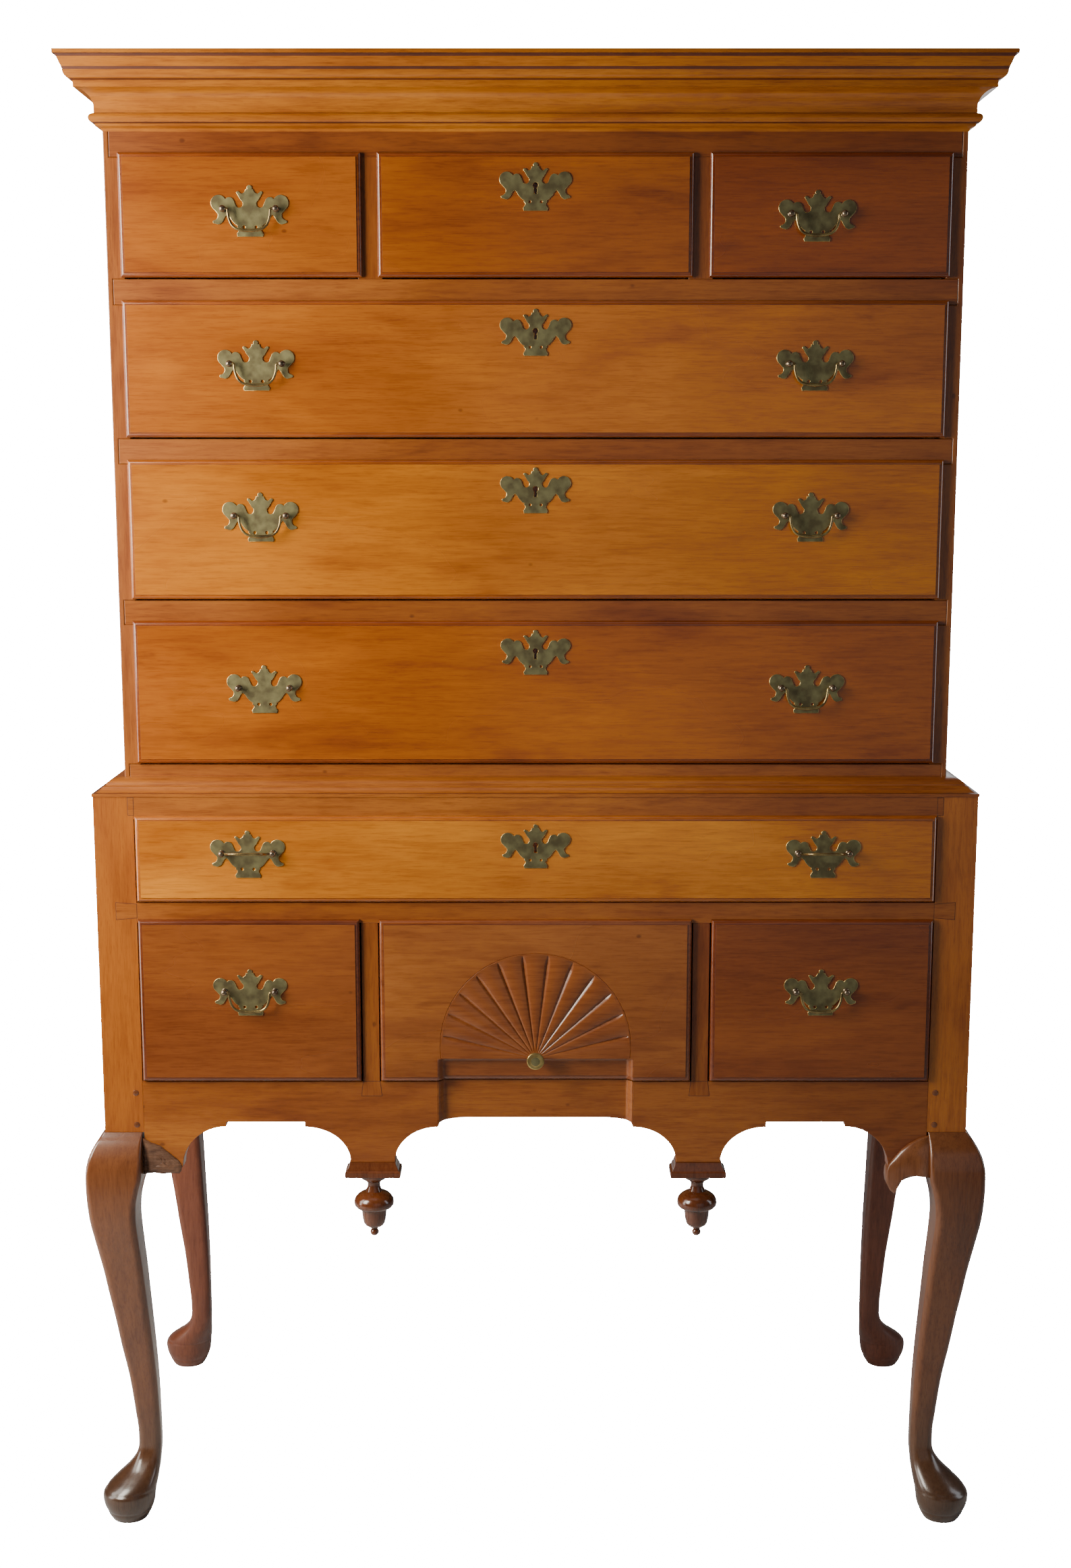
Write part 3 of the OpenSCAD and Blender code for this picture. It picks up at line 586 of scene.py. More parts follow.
def leg_part():
    """A leg: rounded squares whose faces and corner radius follow the rows, then the post.

    Two shallow grooves run round the pad foot."""
    heights = np.concatenate([np.linspace(0, 60, 46), np.linspace(62, 464, 130), np.linspace(466, 480, 18)])
    outer, inner, radius = (smooth_between(heights, leg_rows[:, 0], leg_rows[:, k]) for k in (1, 2, 3))
    groove = 0.7 * np.exp(-((heights - 11.5) / 1.3) ** 2) + 0.5 * np.exp(-((heights - 36.5) / 1.2) ** 2)
    outer, inner = outer + groove, inner - groove
    middle, half = ((outer + inner) / 2)[:, None], ((inner - outer) / 2)[:, None]
    radius = np.minimum(radius[:, None], half - 0.01)
    turn = np.radians(np.concatenate([np.linspace(q, q + 90, 17) for q in (0, 90, 180, 270)]))
    sign_x, sign_y = np.repeat([[1.0, -1, -1, 1], [1, 1, -1, -1]], 17, axis=1)
    x = middle + (half - radius) * sign_x + radius * np.cos(turn)
    y = middle + (half - radius) * sign_y + radius * np.sin(turn)
    shaped = loft(np.stack([x, y, x * 0 + heights[:, None]], -1) * MM)
    return joined([shaped, box_of((0, 0, post_foot), (post_w, post_w, lower_top_z))])


def darker(colour, by):
    return tuple(c * f for c, f in zip(colour, by))


# The low tint darkens the legs towards the feet, as painted shade.
leg_wood = wood("leg_maple", 2, (0.245, 0.084, 0.024), (0.135, 0.044, 0.015), (0.1, 0.035, 0.02), rough=0.26,
                coat=0.7, low=(0.42, 0.6, 0.95))
# The rear legs take a darker copy of the leg wood: painted shade at the back, under the case.
rear_leg_shade_wood = wood("rear_leg_maple", 2, (0.2, 0.056, 0.022), (0.115, 0.032, 0.015), (0.08, 0.03, 0.02),
                 rough=0.4)
post_wood = wood("post_maple", 2, (0.55, 0.185, 0.022), (0.34, 0.098, 0.014), rough=0.3, streak=0.5)
leg = leg_part()
rear_pair = joined([in_corner(leg, False, True), in_corner(leg, True, True)])
for name, node, part, paint in (
        ("front_left_leg", "leg_front_left", in_corner(leg, False, False), leg_wood),
        ("front_right_leg", "leg_front_right", in_corner(leg, True, False), leg_wood),
        ("rear_legs", "legs_rear", rear_pair, rear_leg_shade_wood)):
    on_post = [int(part[0][face, 2].min() > post_foot - 0.1 * MM) for face in part[1]]
    piece(name, *part, [paint, post_wood], "case", "maple_leg", [node], on_post, crease=40)

# ---- Knee brackets ----
# Small carved brackets are glued beside each knee and carry its curve over the skirt.
# The front left one has broken off and has left a rough stub.
whole_outline = np.array([
    (-7, 478), (10, 473.5), (23, 466), (32, 458), (39, 449), (44.5, 442), (47, 434), (47.4, 426),
    (46.5, 418.5), (43, 411.5), (38, 407), (36, 411), (33.5, 418.5), (30, 422.5), (25.5, 425.5),
    (19, 428.3), (12.5, 429.5), (-7, 429.5)])
stub_outline = np.array([
    (0, 474), (9, 468), (20, 464), (28, 457), (34, 452), (40, 447), (44, 440), (43.5, 434), (41, 431),
    (33, 431.6), (22, 430.5), (12, 431.8), (0, 431)])


def bracket(outline, thick, root, back_at, rough=0.0):
    """A pillow over an outline: rings shrink to its middle while the face rises to thick.

    The face stands out by root beside the leg and by less further away, so it meets the knee."""
    middle = np.array([outline[:, 0].mean() * 0.9, outline[:, 1].mean()])
    share = np.linspace(0, 1, 12) ** 1.3
    rings = [np.column_stack([outline[:, 0], outline[:, 0] * 0 + back_at, outline[:, 1]])]
    for part in share:
        flat = outline * (1 - 0.96 * part) + middle * 0.96 * part
        rise = (1 - (1 - min(1, part * 1.6)) ** 2) ** 0.5
        knee = np.minimum(root, np.maximum(-np.interp(flat[:, 1], leg_rows[:, 0], leg_rows[:, 1]) - 1.0, 1.5))
        lean = knee - (knee - np.minimum(thick, knee)) * np.clip(flat[:, 0] / 44, 0, 1) ** 0.8
        out = lean * (0.42 + 0.58 * rise)
        out = out + rough * np.sin(flat[:, 0] * 1.7 + flat[:, 1] * 2.3) * np.cos(flat[:, 1] * 1.1)
        rings.append(np.column_stack([flat[:, 0], -out, flat[:, 1]]))
    return loft(np.array(rings))


def placed_bracket(part, right, back, on_side):
    """Puts a bracket beside a leg: along the front, or turned onto the side."""
    points, faces = part
    points = points + np.array([43.2, 0, 0])
    if on_side:
        points = points[:, [1, 0, 2]]
    return in_corner((points * MM, faces), right, back)


whole = bracket(whole_outline, 5, 19, 15)
stub = bracket(stub_outline, 3, 7, -0.1, rough=0.9)
piece("knee_bracket_whole", *placed_bracket(whole, True, False, False), [leg_wood], "case", "maple_leg",
      ["knee_brackets"], crease=60)
glue_wood = wood("broken_bracket", 0, (0.24, 0.12, 0.065), (0.04, 0.016, 0.01), (0.1, 0.04, 0.02), rough=0.5,
                 coat=0.2, streak=0.7, blotch=5)
piece("knee_bracket_stub", *placed_bracket(stub, False, False, False), [glue_wood], "case", "maple_leg",
      crease=30)
sides = [placed_bracket(whole, right, back, True) for back in (False, True) for right in (False, True)]
piece("knee_brackets_sides", *joined(sides), [leg_wood], "case", "maple_leg", crease=60)

# ---- Pendants ----
# Each drop was turned in maple, with a wide cap, a cup and a button. It hangs from a
# square block with a moulded edge that is glued around the skirt's low point.


def lathe(profile, centre, axis=2, around=64):
    """A profile of (radius, height), in millimetres, turned about an axis through a point."""
    radius, height = (np.asarray(profile, float) * MM).T
    turn = np.linspace(0, 2 * np.pi, around, endpoint=False)
    a, b = radius[:, None] * np.cos(turn), radius[:, None] * np.sin(turn)
    level = np.broadcast_to(height[:, None], a.shape)
    rings = np.stack([a, b, level] if axis == 2 else [a, level, b], -1)
    points, faces = loft(rings)
    return points + np.asarray(centre), faces


turned = ([(15.7, 426.5), (15.6, 424.5), (14.2, 421.5), (10.8, 419.4), (8.2, 417.6), (7.4, 415), (7.6, 411),
           (9.0, 408)] + arc(0, 393.5, 23, 14, 66, 4, 14)
          + [(23.1, 392.2), (22.6, 389.4), (20.4, 386.8), (16.6, 385.6), (14.9, 384.2), (14.5, 382),
             (14.3, 379), (13.9, 375), (13.3, 371), (12.3, 367.5), (10.6, 364.8), (8, 363), (5.4, 362.2),
             (4.4, 361.4), (4.3, 360.4)] + arc(0, 355.9, 5.2, 4.7, 58, -88, 10))
steps = [(31.0, 426.0), (32.0, 427.2), (32.0, 432.5), (31.2, 433.5), (29.8, 434.2), (29.2, 436.4),
         (27.8, 439.2), (26.6, 441.6), (26.3, 444.0)]
rings = []
for wide, high in steps:
    deep = 17 - (32 - wide) * 0.7
    rings.append([(-wide, -deep, high), (wide, -deep, high), (wide, deep, high), (-wide, deep, high)])
drops, blocks = [], []
for sign in (-1, 1):
    axis_at = (sign * base_divider, front_y + 11 * MM, 0)
    drops.append(lathe(turned, axis_at))
    points, faces = loft(np.array(rings) * MM)
    blocks.append((points + np.array(axis_at), faces))
drop_wood = wood("drop_maple", 2, (0.2, 0.056, 0.014), (0.1, 0.028, 0.009), rough=0.16, coat=0.9,
                 blotch=2)
piece("turned_drops", *joined(drops), [drop_wood], "case", "maple_case", ["pendants"], crease=35)
eased(piece("drop_blocks", *joined(blocks), [drop_wood], "case", "maple_case", crease=25), 0.5 * MM)

# ---- Pegs ----
# Whittled pegs were driven through the posts into the skirt's tenons, and their ends
# stand a little proud.
peg_parts = [lathe([(3.5, 0.5), (3.4, -0.3), (2.6, -0.62), (1.2, -0.76), (0.05, -0.8)],
                   (sign * 458 * MM, front_y, high * MM), axis=1, around=20)
             for sign in (-1, 1) for high in (489, 527)]
piece("tenon_pegs", *joined(peg_parts), [leg_wood], "case", "maple_leg", ["pegs"], crease=50)

# ---- Drawer fronts ----
# Each front is one maple board with a lip that covers the gap around its opening. A
# thumbnail moulding runs round its edge, and a small step, painted dark as a thin line of
# shade, parts it from the flat field.
FRONT_TONES = {  # the pale and the deep tone of each front
    "lower_long": ((0.45, 0.13, 0.007), (0.26, 0.06, 0.004)),
    "middle_long": ((0.58, 0.195, 0.008), (0.35, 0.094, 0.005)),
    "upper_long": ((0.52, 0.165, 0.012), (0.3, 0.075, 0.008)),
    "top_left": ((0.44, 0.132, 0.009), (0.26, 0.06, 0.005)),
    "top_centre": ((0.42, 0.118, 0.006), (0.26, 0.062, 0.004)),
    "top_right": ((0.34, 0.08, 0.005), (0.19, 0.04, 0.003)),
    "base_long": ((0.68, 0.25, 0.018), (0.42, 0.12, 0.01)),
    "base_left": ((0.3, 0.088, 0.016), (0.175, 0.043, 0.009)),
    "base_fan": ((0.42, 0.145, 0.028), (0.23, 0.064, 0.014)),
    "base_right": ((0.31, 0.086, 0.014), (0.19, 0.044, 0.008))}
front_profile = np.array(  # the thumbnail's: distance in from the edge, and y of the face there
    [(0, -0.4), (0, -2.0)]
    + [(4.8 - 4.8 * math.cos(a), -2.0 - 4.1 * math.sin(a)) for a in np.linspace(0.12, np.pi / 2, 9)]
    + [(4.95, -6.1), (5.15, -6.95), (5.4, -7.0)])
BORDER = 5.4
KEY_HEIGHT = {"top_centre": 1530, "upper_long": 1378, "middle_long": 1209, "lower_long": 1031,
              "base_long": 817}
key_outline = np.array([(-1.6, -9), (1.6, -9)] + arc(0, 0, 2.9, 2.9, -62, 242, 24))


def front_rings(x0, x1, z0, z1, face):
    """Rectangles that step inwards along the thumbnail's profile, from the lip's back to the field."""
    rings = []
    for inset, out in front_profile * MM:
        rings.append([(x0 + inset, face + out, z0 + inset), (x1 - inset, face + out, z0 + inset),
                      (x1 - inset, face + out, z1 - inset), (x0 + inset, face + out, z1 - inset)])
    return loft(np.array(rings), capped=False)


def field_faces(x0, x1, z0, z1, y, key):
    """The flat field, with a keyhole cut through it at x = 0 where there is one.

    Points 0 to 3 are the field's corners, and the hole's follow. Two faces meet at x = 0,
    above the hole's crown and below its foot."""
    corner = [(x0, y, z0), (x1, y, z0), (x1, y, z1), (x0, y, z1)]
    if key is None:
        return np.array(corner), [[0, 1, 2, 3]]
    hole = [(px * MM, y, key * MM + pz * MM) for px, pz in key_outline]
    deep = [(px, y + 20 * MM, pz) for px, _, pz in hole]
    n = len(hole)
    crown = 4 + 2 + 12
    points = corner + hole + deep + [(0, y, z0), (0, y, z1)]
    low_mid, high_mid = 4 + 2 * n, 5 + 2 * n
    right = [low_mid, 1, 2, high_mid] + list(range(crown, 3, -1))
    left = [high_mid, 3, 0, low_mid, 4] + list(range(3 + n, crown - 1, -1))
    walls = [[4 + i, 4 + (i + 1) % n, 4 + n + (i + 1) % n, 4 + n + i] for i in range(n)]
    return np.array(points), [right, left] + walls


front_paint = {}
for index, (name, (low, high)) in enumerate(front_box.items()):
    pale, deep = FRONT_TONES[name]
    front_paint[name] = wood(f"front_{name}", 0, pale, deep, rough=0.24, coat=0.5, streak=0.42,
                             shift=1.7 * index)
    # The lip is a darker copy of the front's wood: painted shade on the rounded moulding.
    shaded_lip_paint = wood(f"lip_{name}", 0, darker(pale, (0.7, 0.55, 0.6)), darker(deep, (0.6, 0.5, 0.6)),
                     rough=0.2, coat=0.9)
    if name == "base_fan":
        continue
    in_base = name.startswith("base")
    face = front_y if in_base else upper_y
    edge = front_rings(low[0], high[0], low[2], high[2], face)
    inset = BORDER * MM
    field = field_faces(low[0] + inset, high[0] - inset, low[2] + inset, high[2] - inset, low[1],
                        KEY_HEIGHT.get(name))
    side = (0.6 if in_base else 6.1) * MM
    block = box_of((low[0] + side, face - 0.4 * MM, low[2] + 0.1 * MM),
                   (high[0] - side, high[1], high[2] - LIP - REVEAL))
    lip_rows = len(front_profile) - 4
    # The step's two rows take the painted shade.
    marks = [1] * 4 * lip_rows + [2] * 4 * 2 + [0] * (4 + len(field[1]) + len(block[1]))
    piece(f"{name}_board", *joined([edge, field, block]), [front_paint[name], shaded_lip_paint, crease_shade_wood],
          f"{name}_drawer", "maple_front", [f"{name}_front"], marks, crease=30)

# ---- Fan drawer's front ----
# This front is thicker. Its lower edge is cut back in line with the skirt, and twelve
# V-shaped grooves are carved above that in a fan, inside a scribed arc.
fan_low, fan_high = front_box["base_fan"]
fan_z, fan_r, arc_z = 569.5, 108.5, 584.0
x1, z0, z1 = fan_high[0] / MM, fan_low[2] / MM, fan_high[2] / MM


def fan_rings():
    """The thumbnail's rings, whose lower side follows the cut-back."""
    rings = []
    for inset, out in front_profile:
        left, right, low, high = inset - x1, x1 - inset, z0 + inset, z1 - inset
        rings.append([(left, out, low), *((x, out + cut_depth(x), low) for x in cut_x), (right, out, low),
                      (right, out, high), (left, out, high)])
    return loft(np.array(rings), capped=False)


def sheet(rows, flipped=False):
    """Faces of an open skin over rows with the same number of points each."""
    count, across = rows.shape[:2]
    k, row = np.arange(across - 1), np.arange(count - 1)[:, None] * across
    corners = [row + k, row + k + 1, row + across + k + 1, row + across + k]
    return np.stack([corners[i] for i in ((0, 3, 2, 1) if flipped else (0, 1, 2, 3))], -1)


def fan_strip():
    """The part below the fan: the cut-back's depth runs out in a small cove under the fan."""
    x = np.concatenate([[-x1 + BORDER], cut_x, [x1 - BORDER]])
    into = np.clip((middle_x - np.abs(x)) / cove_w, 0, 1)
    ledge = fan_z - 2.6 * (1 - np.sqrt(1 - (1 - into) ** 2))
    rows = [np.stack([x, -7 + cut_depth(x), x * 0 + z0 + BORDER], -1)]
    for part in np.linspace(0, 1, 9):
        rows.append(np.stack([x, -7 + cut_depth(x) * math.sqrt(1 - part ** 2), ledge - 5 * (1 - part)], -1))
    rows.append(np.stack([x, x * 0 - 7, x * 0 + fan_z], -1))
    rows = np.array(rows)
    return rows.reshape(-1, 3), sheet(rows).reshape(-1, 4).tolist()


def fan_leaves():
    """The face above, on rays from the knob.

    With c the arc centre's height above the knob, the arc lies at
    R = c sin(a) + sqrt(r^2 - c^2 cos(a)^2) along the ray at angle a. Groove k of 12 runs at
    180 k / 13 degrees. Its half width grows with the distance and closes to a point inside
    the arc, and its depth falls from the middle to the edges as (1 - |u|)^1.2."""
    side = np.array([-1, -0.75, -0.5, -0.25, -0.08, 0, 0.08, 0.25, 0.5, 0.75, 1])
    step = math.pi / 13
    angle, u, groove = [0.0], [2.0], [0.0]
    for k in range(1, 13):
        angle += [(k - 0.5) * step] + [k * step] * len(side)
        u += [2.0] + side.tolist()
        groove += [0.0] + [1.0] * len(side)
    angle += [math.pi - 0.5 * step, math.pi]
    u += [2.0, 2.0]
    groove += [0.0, 0.0]
    angle, u, groove = map(np.array, (angle, u, groove))
    c = arc_z - fan_z
    rim = c * np.sin(angle) + np.sqrt(fan_r ** 2 - (c * np.cos(angle)) ** 2)
    share = np.concatenate([np.linspace(0.012, 0.9, 34), np.linspace(0.91, 0.985, 14)])
    rho = rim * share[:, None]
    ends = np.sqrt(np.clip((rim - 2.5 - rho) / 9, 0, 1)) * np.clip((rho - 6) / 8, 0, 1)
    half = (0.5 + 3.1 * rho / fan_r) * ends
    turn = angle + np.where(np.abs(u) <= 1, u, 0) * half / rho
    deep = groove * np.clip(1 - np.abs(u), 0, 1) ** 1.2 * (0.4 + 1.7 * rho / fan_r) * ends
    turn, rho, depth = [turn], [rho], [deep]
    for off, sunk in ((-0.5, 0), (0, 0.55), (0.5, 0)):
        turn.append(angle[None])
        rho.append(rim[None] + off)
        depth.append(rim[None] * 0 + sunk)
    turn, rho, depth = map(np.concatenate, (turn, rho, depth))
    x, z = rho * np.cos(turn), fan_z + rho * np.sin(turn)
    top, wide = z1 - BORDER - fan_z, x1 - BORDER
    corner = math.atan2(top, wide)
    outer = angle.copy()
    for at in (corner, math.pi - corner):
        outer[np.abs(angle - angle[np.argmin(np.abs(angle - at))]) < 1e-9] = at
    reach = np.minimum(wide / np.maximum(np.abs(np.cos(outer)), 1e-6), top / np.maximum(np.sin(outer), 1e-6))
    edge_x, edge_z = reach * np.cos(outer), fan_z + reach * np.sin(outer)
    last_x, last_z = x[-1], z[-1]
    for part in (0.3, 1.0):
        x = np.vstack([x, last_x * (1 - part) + edge_x * part])
        z = np.vstack([z, last_z * (1 - part) + edge_z * part])
        depth = np.vstack([depth, edge_x * 0])
    points = np.stack([x, -7 + depth, z], -1)
    faces = sheet(points, flipped=True)
    marks = np.broadcast_to(np.where(np.arange(len(faces))[:, None] < len(share) + 1, 3, 0), faces.shape[:2])
    middle = points.shape[0] * points.shape[1]
    cap = [[middle, i + 1, i] for i in range(points.shape[1] - 1)]
    points = np.vstack([points.reshape(-1, 3), points[0].mean(0)])
    return (points, faces.reshape(-1, 4).tolist() + cap), marks.ravel().tolist() + [3] * len(cap)


rings, strip = fan_rings(), fan_strip()
leaves, leaf_marks = fan_leaves()
block = box_of((-x1 + 0.6, 5.0, z0 + 0.1), (x1 - 0.6, 25, z1 - 6))
block_top = box_of((-x1 + 0.6, -0.4, fan_z), (x1 - 0.6, 5, z1 - 6))
block_sides = mirrored(box_of((middle_x, -0.4, z0 + 0.1), (x1 - 0.6, 5, fan_z)))
points, faces = joined([rings, strip, leaves, block, block_top, block_sides])
across = len(cut_x) + 4
ring_rows = len(front_profile) - 1
strip_marks = [3 if abs(np.mean([strip[0][i][0] for i in face])) < middle_x else 0 for face in strip[1]]
# The fan front's lip faces take the darker copy of its wood, as painted shade.
marks = ([1] * (across * (ring_rows - 2)) + [2] * (across * 2) + strip_marks + leaf_marks
         + [0] * (len(faces) - across * ring_rows - len(strip[1]) - len(leaf_marks)))
points = points * MM
points[:, 1] += front_y
fan_wood = wood("fan_carving", 0, (0.3, 0.09, 0.018), (0.19, 0.05, 0.011), rough=0.26, coat=0.5)
# On the fan front too, the step takes the painted shade.
piece("base_fan_board", points, faces,
      [front_paint["base_fan"], bpy.data.materials["lip_base_fan"], crease_shade_wood, fan_wood],
      "base_fan_drawer", "maple_front", ["base_fan_front"], marks, crease=38)

# ---- Drawer boxes ----
# Sides, backs and bottoms are thin pine boards. The sides are dovetailed into the fronts.
for name in front_box:
    box_mesh = frame["nodes"][name + "_box"].data
    if not box_mesh.materials:
        box_mesh.materials.append(pine[1])
    for i in range(len(box_mesh.materials)):
        box_mesh.materials[i] = pine[1]

# ---- Brass ----
# Each pull has a plate sawn from cast brass, two ball-headed posts and a bail that hangs
# between them. The keyholes have the same plates, a little smaller, without a bail.


def metal(name, colour, stain, rough):
    """Old brass: a film of dull stain in clouds over the metal, with fine scratches."""
    paint = Paint(name)
    clouds = paint.noise(paint.place, 90, 5)
    scratches = paint.noise(paint.stretched((1600, 1600, 160)), 1)
    paint.link(paint.shader, {"Base Color": paint.ramp(clouds, [(0.36, stain), (0.66, colour)], "LINEAR")})
    paint.bump(scratches, 0.15, 0.0002)
    paint.shader.inputs["Metallic"].default_value = 0.85
    paint.shader.inputs["Roughness"].default_value = rough
    return paint.material


plate_brass = metal("plate_brass", (0.30, 0.27, 0.13), (0.16, 0.13, 0.065), 0.48)
# Painted highlight: brighter brass for the plates' filed edges and the knob's sides.
edge_brass = metal("edge_brass", (0.72, 0.55, 0.2), (0.4, 0.28, 0.1), 0.3)
bail_brass = metal("bail_brass", (0.42, 0.31, 0.12), (0.18, 0.125, 0.055), 0.26)
post_brass = metal("post_brass", (0.3, 0.22, 0.14), (0.12, 0.085, 0.06), 0.22)
iron = metal("lock_iron", (0.12, 0.1, 0.09), (0.05, 0.04, 0.035), 0.55)

half_plate = (arc(0, 22.4, 2.8, 2.8, 90, -30, 8) + arc(9.4, 21.2, 5.1, 5.1, 183, 262, 8)
              + arc(12.6, 17.2, 1.6, 1.6, 120, -60, 8) + arc(11.3, 5.6, 3.9, 3.9, 120, 320, 16)
              + arc(21.8, 7.6, 5.2, 5.2, 160, 62, 8) + arc(33.4, 6.6, 8.5, 8.5, 150, -50, 20)
              + arc(39.5, -6.2, 5.2, 5.2, 160, 235, 6) + arc(38.2, -13, 1.8, 1.8, 90, -90, 6)
              + [(34.5, -15.9), (32.4, -15.6), (30, -14), (28.1, -11.1), (26.5, -8), (24.2, -5.8),
                 (21.5, -8.5), (19.9, -11.2), (18, -13.5), (15.6, -15.8), (13.2, -17.2), (13.9, -18.3),
                 (12, -20.4), (12, -21.8), (14.4, -25.4), (13.6, -28.6)])
plate_line = np.array(half_plate + [(-x, z) for x, z in half_plate[:0:-1]])
PLATE_T, EDGE = 1.2, 0.42


def flat_plate(name, outlines, back_y, centre, size, body):
    """A plate from flat outlines, filled between them as a 2D curve is, with a filed edge."""
    curve = bpy.data.curves.new(name, "CURVE")
    curve.dimensions = "2D"
    curve.fill_mode = "BOTH"
    curve.bevel_depth = EDGE * MM
    curve.bevel_resolution = 2
    curve.offset = -EDGE * MM
    curve.extrude = (PLATE_T / 2 - EDGE) * MM
    for outline in outlines:
        spline = curve.splines.new("POLY")
        spline.points.add(len(outline) - 1)
        spline.points.foreach_set("co", np.column_stack([outline * size * MM, np.zeros(len(outline)),
                                                         np.ones(len(outline))]).ravel())
        spline.use_cyclic_u = True
    maker = in_scene(name + "_outline", curve)
    bpy.context.view_layer.update()
    mesh = bpy.data.meshes.new_from_object(maker.evaluated_get(bpy.context.evaluated_depsgraph_get()))
    bpy.data.objects.remove(maker)
    flat = np.empty(len(mesh.vertices) * 3, np.float32)
    mesh.vertices.foreach_get("co", flat)
    flat = flat.reshape(-1, 3)
    points = np.stack([centre[0] + flat[:, 0], back_y - PLATE_T / 2 * MM - flat[:, 2],
                       centre[1] + flat[:, 1]], -1)
    faces = [list(p.vertices) for p in mesh.polygons]
    # Edge faces take the brass with the painted highlight.
    on_edge = [int(abs(p.normal.z) < 0.98) for p in mesh.polygons]
    bpy.data.meshes.remove(mesh)
    return piece(name, points, faces, [plate_brass, edge_brass], body, "brass", (), on_edge, crease=30)


def turned_post(centre, plate_y):
    """A post: a stout shank on a small collar, with a ball that the bail's pin enters."""
    profile = ([(0.05, 0.1), (3.3, 0.1), (3.3, -0.5), (2.5, -1.1), (2.1, -2.2), (2.2, -3.6), (2.6, -4.4)]
               + arc(0, -7.3, 3.6, -3.6, -46, 89, 21))
    return lathe(profile, (centre[0], plate_y, centre[1]), axis=1, around=36)


def cotter(centre, inside_y):
    """The post's two tails, spread and driven into the inside of the front."""
    parts = []
    for turn in (1, -1):
        line = [(0.6, -8, 0), (0.7, 1.2, 0.2), (2.2, 2.2, 1.2), (6.5, 1.9, 3.4), (9.5, 1.2, 4.8),
                (10.5, -1.5, 5.2)]
        rings = []
        for k, (x, y, z) in enumerate(line):
            along = np.subtract(line[min(k + 1, 5)], line[max(k - 1, 0)])
            along = along / np.linalg.norm(along)
            a = np.cross(along, (0, 0.3, 1))
            a /= np.linalg.norm(a)
            b = np.cross(along, a)
            spin = np.linspace(0, 2 * np.pi, 10, endpoint=False)[:, None]
            rings.append(np.array([x, y, z]) + 0.75 * (np.cos(spin) * a + np.sin(spin) * b))
        points, faces = loft(np.array(rings) * MM)
        points[:, [0, 2]] *= turn
        parts.append((points + np.array([centre[0], inside_y, centre[1]]), faces))
    return joined(parts)


bail_at = {j["child"]: np.array(j["pos_m"]) for j in frame["joints"] if j["type"] == "hinge"}
pulls = {name: [] for name in front_box}
for bail_name, at in bail_at.items():
    pulls[bail_name.split("_bail")[0]].append((at[0], at[2]))
# The upper case's lowest drawer has lost its left bail, but its plate and posts are there.
lone = pulls["lower_long"][0]
pulls["lower_long"].append((-lone[0], lone[1]))
hole = np.array(arc(0, 0, 1.6, 1.6, 360, 0, 14)[:-1])
nail_holes = [hole + (6.6, -18.6), hole + (-6.6, -18.6)]
half_gap, small = 28.5 * MM, 0.93
for name, places in pulls.items():
    body, face_y, inside_y = f"{name}_drawer", front_box[name][0][1], front_box[name][1][1]
    for number, (px, pz) in enumerate(places):
        flat_plate(f"{name}_plate_{number}", [plate_line, *nail_holes], face_y, (px, pz), 1.0, body)
        ends = [(px - half_gap, pz), (px + half_gap, pz)]
        piece(f"{name}_posts_{number}", *joined([turned_post(end, face_y - PLATE_T * MM) for end in ends]),
              [post_brass], body, "brass", crease=35)
        piece(f"{name}_post_tails_{number}", *joined([cotter(end, inside_y) for end in ends]), [post_brass],
              body, "brass", crease=50)
    key = KEY_HEIGHT.get(name)
    if key is not None:
        flat_plate(f"{name}_keyhole_plate", [plate_line, key_outline[::-1] / small, *nail_holes], face_y,
                   (0, key * MM), small, body)
        lock = box_of((-32 * MM, inside_y, (key - 14) * MM), (32 * MM, inside_y + 9 * MM, (key + 12) * MM))
        eased(piece(f"{name}_lock", *lock, [iron], body, "brass"), 1.0 * MM)
    if name != "base_fan":
        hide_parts(f"{name}_brass")

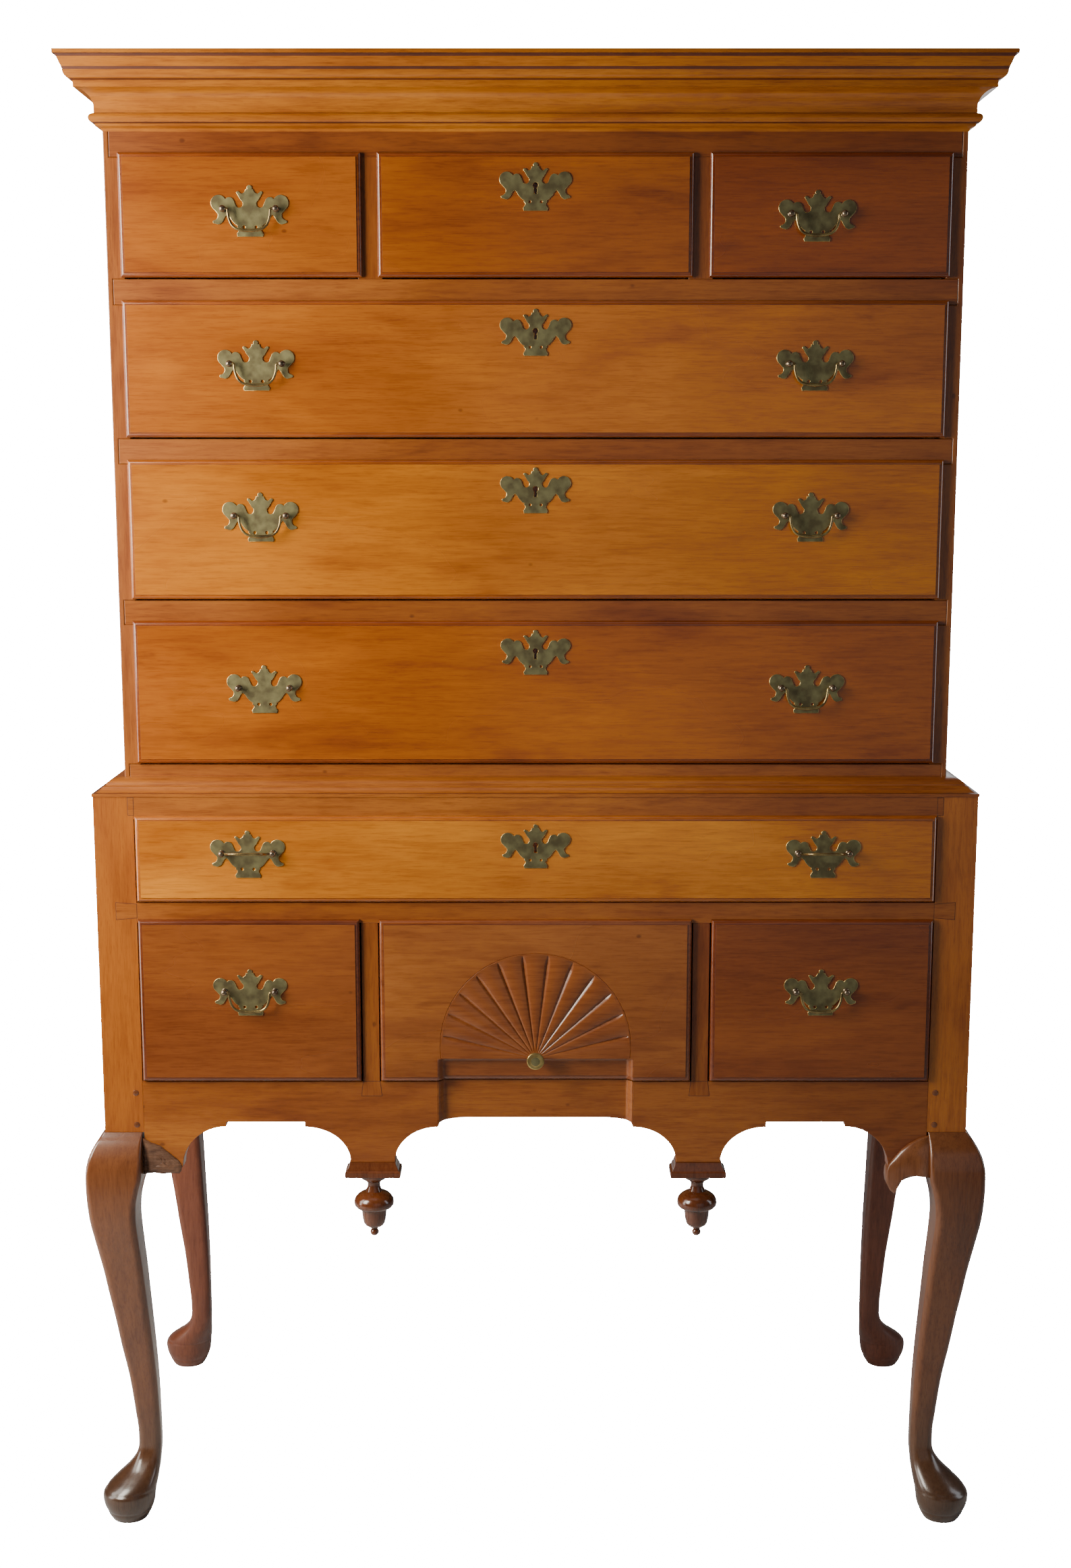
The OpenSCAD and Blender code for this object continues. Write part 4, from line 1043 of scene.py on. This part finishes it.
# The fan drawer has a plain round knob on a thin shank instead.
knob_low, knob_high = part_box("base_fan_brass")
knob = [(0.05, 0), (4, 0), (3.9, -9), (4.2, -14), (5.5, -16.2), (8.6, -17.4), (9.7, -18), (10, -18.8),
        (9.8, -19.6), (8.9, -20.2), (8.2, -20.35), (8.0, -20.25), (5.0, -20.9), (0.05, -21.6)]
knob_at = ((knob_low[0] + knob_high[0]) / 2, knob_high[1], fan_z * MM)
points, faces = lathe(knob, knob_at, axis=1, around=56)
# The knob's sides take the brass with the painted highlight, and its face the plate's brass.
marks = [int(points[face[0], 1] - knob_at[1] > -20.3 * MM) for face in faces]
piece("fan_knob", points, faces, [plate_brass, edge_brass], "base_fan_drawer", "brass", ["base_fan_brass"],
      marks, crease=40)

# ---- Bails ----
# Each bail is a bent brass rod whose thinner ends turn outwards into the posts. The two
# on the lower case's long drawer have stiff pins and stay raised.
half_bail = ([(30.5, 0), (28, 0), (25.6, 0), (25.0, -0.02)] + arc(24.8, -2, 2, 2, 100, 176, 6)
             + arc(-7.2, -2, 30, 30, -3, -25, 8) + arc(8.66, -9.4, 12.5, 12.5, -31, -78, 10)
             + arc(0, 31.4, 54.2, 54.2, -79.5, -89, 5))
bail_line = np.array(half_bail + [(0, -22.8)] + [(-x, z) for x, z in half_bail[::-1]])


def bail_rod(at, lift):
    """A round rod along the bail's line, raised by an angle about the line of its pins."""
    ahead = np.gradient(bail_line, axis=0)
    ahead /= np.linalg.norm(ahead, axis=1)[:, None]
    radius = np.where(np.abs(bail_line[:, 0]) > 25.3, 1.08, 1.38)
    radius = radius + 0.35 * max(0, math.cos(lift)) * np.exp(-(bail_line[:, 0] / 15) ** 2)
    spin = np.linspace(0, 2 * np.pi, 18, endpoint=False)
    across = np.stack([-ahead[:, 1], ahead[:, 0]], -1)
    x = bail_line[:, None, 0] + across[:, None, 0] * radius[:, None] * np.cos(spin)
    z = bail_line[:, None, 1] + across[:, None, 1] * radius[:, None] * np.cos(spin)
    y = radius[:, None] * np.sin(spin)
    c, s = math.cos(lift), math.sin(lift)
    points, faces = loft(np.stack([x, y * c + z * s, -y * s + z * c], -1) * MM)
    return points + at, faces


raised = math.radians(100)
for bail_name, at in bail_at.items():
    lift = raised if bail_name.startswith("base_long") else 0.0
    piece(f"{bail_name}_rod", *bail_rod(at, lift), [bail_brass], bail_name, "brass", [bail_name], crease=50)
